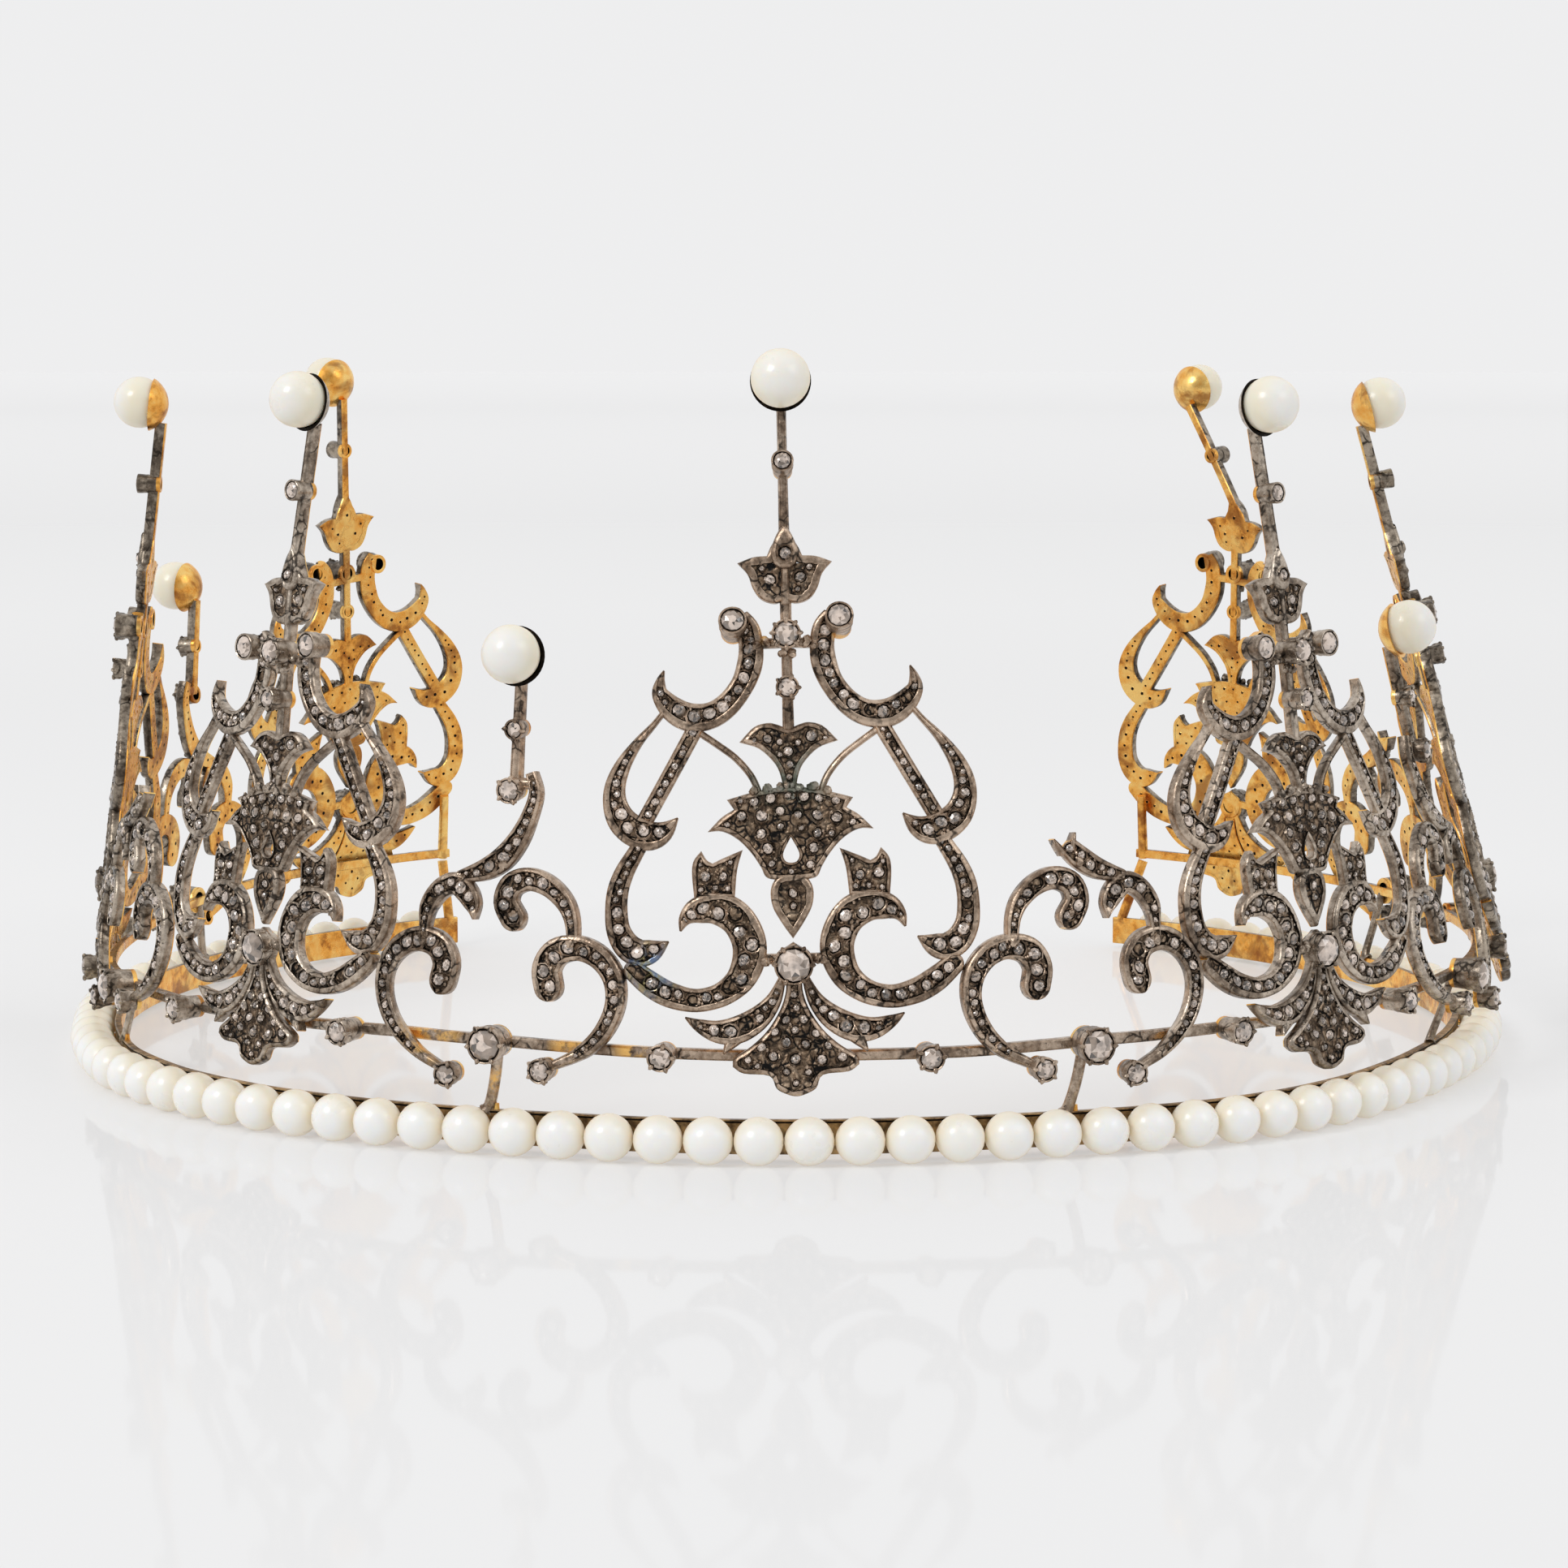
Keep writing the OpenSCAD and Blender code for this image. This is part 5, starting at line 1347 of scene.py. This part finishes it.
def addRod(bm, path, radii, index, flatten=1.0, sides=14):
    # a round wire through a few points, its radius given at each
    fine = smoothRows([(*p, r) for p, r in zip(path, radii)], 6)

    def at(i):
        p = Vector(fine[i][:3])
        a, b = Vector(fine[max(i - 1, 0)][:3]), Vector(fine[min(i + 1, len(fine) - 1)][:3])
        along = (b - a).normalized()
        side = along.cross(Vector((p.x, p.y, 0)).normalized()).normalized()
        radial = side.cross(along)
        turns, r = [2 * math.pi * k / sides for k in range(sides)], fine[i][3]
        points = [p + side * math.cos(t) * r + radial * math.sin(t) * r * flatten for t in turns]
        return points, [index] * sides
    part = bmesh.new()
    sweep(part, fine, at)
    pour(bm, part)


def addRailWire(bm):
    r0, r1, end = ring["railOuter"], ring["railInner"], ring["railEnd"]
    stations = [-end + 2 * end * i / rail["stations"] for i in range(rail["stations"] + 1)]
    section = [(r0 - 0.2, -0.56), (r0, -0.36), (r0, 0.36), (r0 - 0.2, 0.56),
               (r1 + 0.1, 0.56), (r1, 0.45), (r1, -0.45), (r1 + 0.1, -0.56)]
    marks = [onSilver] * 4 + [onGold] * 3 + [onSilver]

    def at(i):
        angle = stations[i]
        z = railLevel(angle) + rail["wander"] * noise.noise(Vector((angle * 0.11, 0, 0)))
        sway = rail["wander"] * noise.noise(Vector((angle * 0.13, 4, 0)))
        return [railPoint(angle, r + sway, z + h) for r, h in section], marks
    part = bmesh.new()
    sweep(part, stations, at)
    pour(bm, part)


def addPost(bm, angle, middle):
    foot = bandPoint(angle, ring["inset"] + post["foot"], ring["bandTop"] - post["sunk"])
    head = railPoint(angle, middle, railLevel(angle))
    side = Vector((math.cos(math.radians(angle)), math.sin(math.radians(angle)), 0))
    ankle = foot - side * 0.2 + Vector((0, 0, 0.8))
    path = [foot - side * 0.6, ankle, foot.lerp(head, 0.5), head]
    addRod(bm, path, post["radii"], onSilver, post["flat"])
    addRod(bm, [foot + side * 0.5, foot + side * 0.55 + Vector((0, 0, 0.9))], post["goldRadii"], onGold)


def addEndPost(bm, way, end, middle):
    # gold, from the end of the band to the rail and on above it
    angle, thick = way * (ring["railEnd"] - endPost["railIn"]), endPost["radius"]
    inset, low = ring["inset"] + post["foot"], ring["bandTop"] - endPost["sunk"]
    foot = bandPoint(end - way * endPost["in"], inset, low)
    under = railPoint(angle, middle, railLevel(angle) - endPost["under"])
    over = railPoint(angle, middle, railLevel(angle) - endPost["from"])
    top = railPoint(angle * 0.998, middle - endPost["lean"], rail["endTop"])
    addRod(bm, [foot, under], [thick, thick], onGold)
    addRod(bm, [over, top], [thick, 0.6], onGold)


def makeRail():
    dice, bm = random.Random(21), bmesh.new()
    addRailWire(bm)
    middle = (ring["railOuter"] + ring["railInner"]) / 2
    for angle, r, stand, claws in railCollets:
        seat = galleryTurn(angle) @ move(0, -middle, railLevel(angle)) @ turn(90, "X")
        length = ring["plate"] - middle + rail["plateGap"] + stand
        addCollet(bm, bigStones["rail_stones"], seat, r, length, claws, dice)
    for s in sprays:
        addPost(bm, s[1], middle)
    for way, end in zip((-1, 1), bandEnds):
        addEndPost(bm, way, end, middle)
    finish("gallery_rail_wire", bm, metals, ["gallery_rail"])


makeRail()
for node, bm in bigStones.items():
    finish(node + "_cut", bm, paintedFacetShades, [node], flat=True)
print("band, rail and large stones made")

# A plain pale surface and soft light from all round, as in a light tent
# In metres, and the reaches in millimetres
studio = {"floor": (0.44, 0.44, 0.442), "middle": 1.01, "middleReach": 2500, "size": 9, "rough": 0.045,
          "gloss": 1.055, "glowReach": 5000, "glowStops": (0.0, 0.09, 0.19, 0.38, 0.95),
          "glow": (0.385, 0.38, 0.285, 0.175, 0.07), "world": 0.865,
          "behind": 0.42, "air": (0.99, 0.99, 0.996), "target": (0, 0, 0.04),
          "key": {"place": (-0.75, -0.75, 0.85), "size": 0.45, "power": 5.0},
          "fill": {"place": (0.8, -0.6, 0.7), "size": 0.5, "power": 1.4}}


def paleFloor(s):
    bm = bmesh.new()
    bmesh.ops.create_grid(bm, x_segments=2, y_segments=2, size=s["size"])
    mesh = meshOf(bm, "floor")
    m = Mixer("paleSurface")
    middle = tuple(v * s["middle"] for v in s["floor"])
    # the surface is lit from below as well, as a light table is, less so farther from the camera
    underCamera = camera["place"][0], camera["place"][1], 0
    glow = m.ramp(m.away(underCamera, s["glowReach"]), s["glowStops"], [[v] * 3 for v in s["glow"]])
    m.give({"Base Color": m.blend(m.near((0, 0, 0), s["middleReach"]), middle, s["floor"]),
            "Roughness": s["rough"], "IOR": s["gloss"], "Emission Color": glow, "Emission Strength": 1.0})
    mesh.materials.append(m.material)
    addObject("floor", mesh)


def softLight(name, look, target):
    data = bpy.data.lights.new(name, "AREA")
    data.shape, data.size, data.size_y, data.energy = "RECTANGLE", look["size"], look["size"], look["power"]
    lamp = addObject(name, data)
    lamp.location = look["place"]
    lamp.rotation_euler = (Vector(target) - Vector(look["place"])).to_track_quat("-Z", "Y").to_euler()


def paleRoom(s):
    # light from every side, weaker from behind the camera
    world = bpy.data.worlds.new("paleRoom")
    world.use_nodes = True
    nodes, links = world.node_tree.nodes, world.node_tree.links
    towards = nodes.new("ShaderNodeSeparateXYZ")
    links.new(nodes.new("ShaderNodeTexCoord").outputs["Generated"], towards.inputs["Vector"])
    shade = nodes.new("ShaderNodeMapRange")
    shade.interpolation_type = "SMOOTHSTEP"
    limits = {"From Min": -0.95, "From Max": -0.25, "To Min": s["behind"], "To Max": s["world"]}
    for name, v in limits.items():
        shade.inputs[name].default_value = v
    links.new(towards.outputs["Y"], shade.inputs["Value"])
    links.new(shade.outputs["Result"], nodes["Background"].inputs["Strength"])
    nodes["Background"].inputs["Color"].default_value = (*s["air"], 1)
    bpy.context.scene.world = world


paleFloor(studio)
for name in ("key", "fill"):
    softLight(name, studio[name], studio["target"])
paleRoom(studio)
bpy.context.scene.view_settings.view_transform = "Standard"

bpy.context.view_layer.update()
shown = [o for o in bpy.data.objects if o.type == "MESH" and not o.hide_render]
print("triangles:", sum(sum(len(p.vertices) - 2 for p in o.data.polygons) for o in shown))
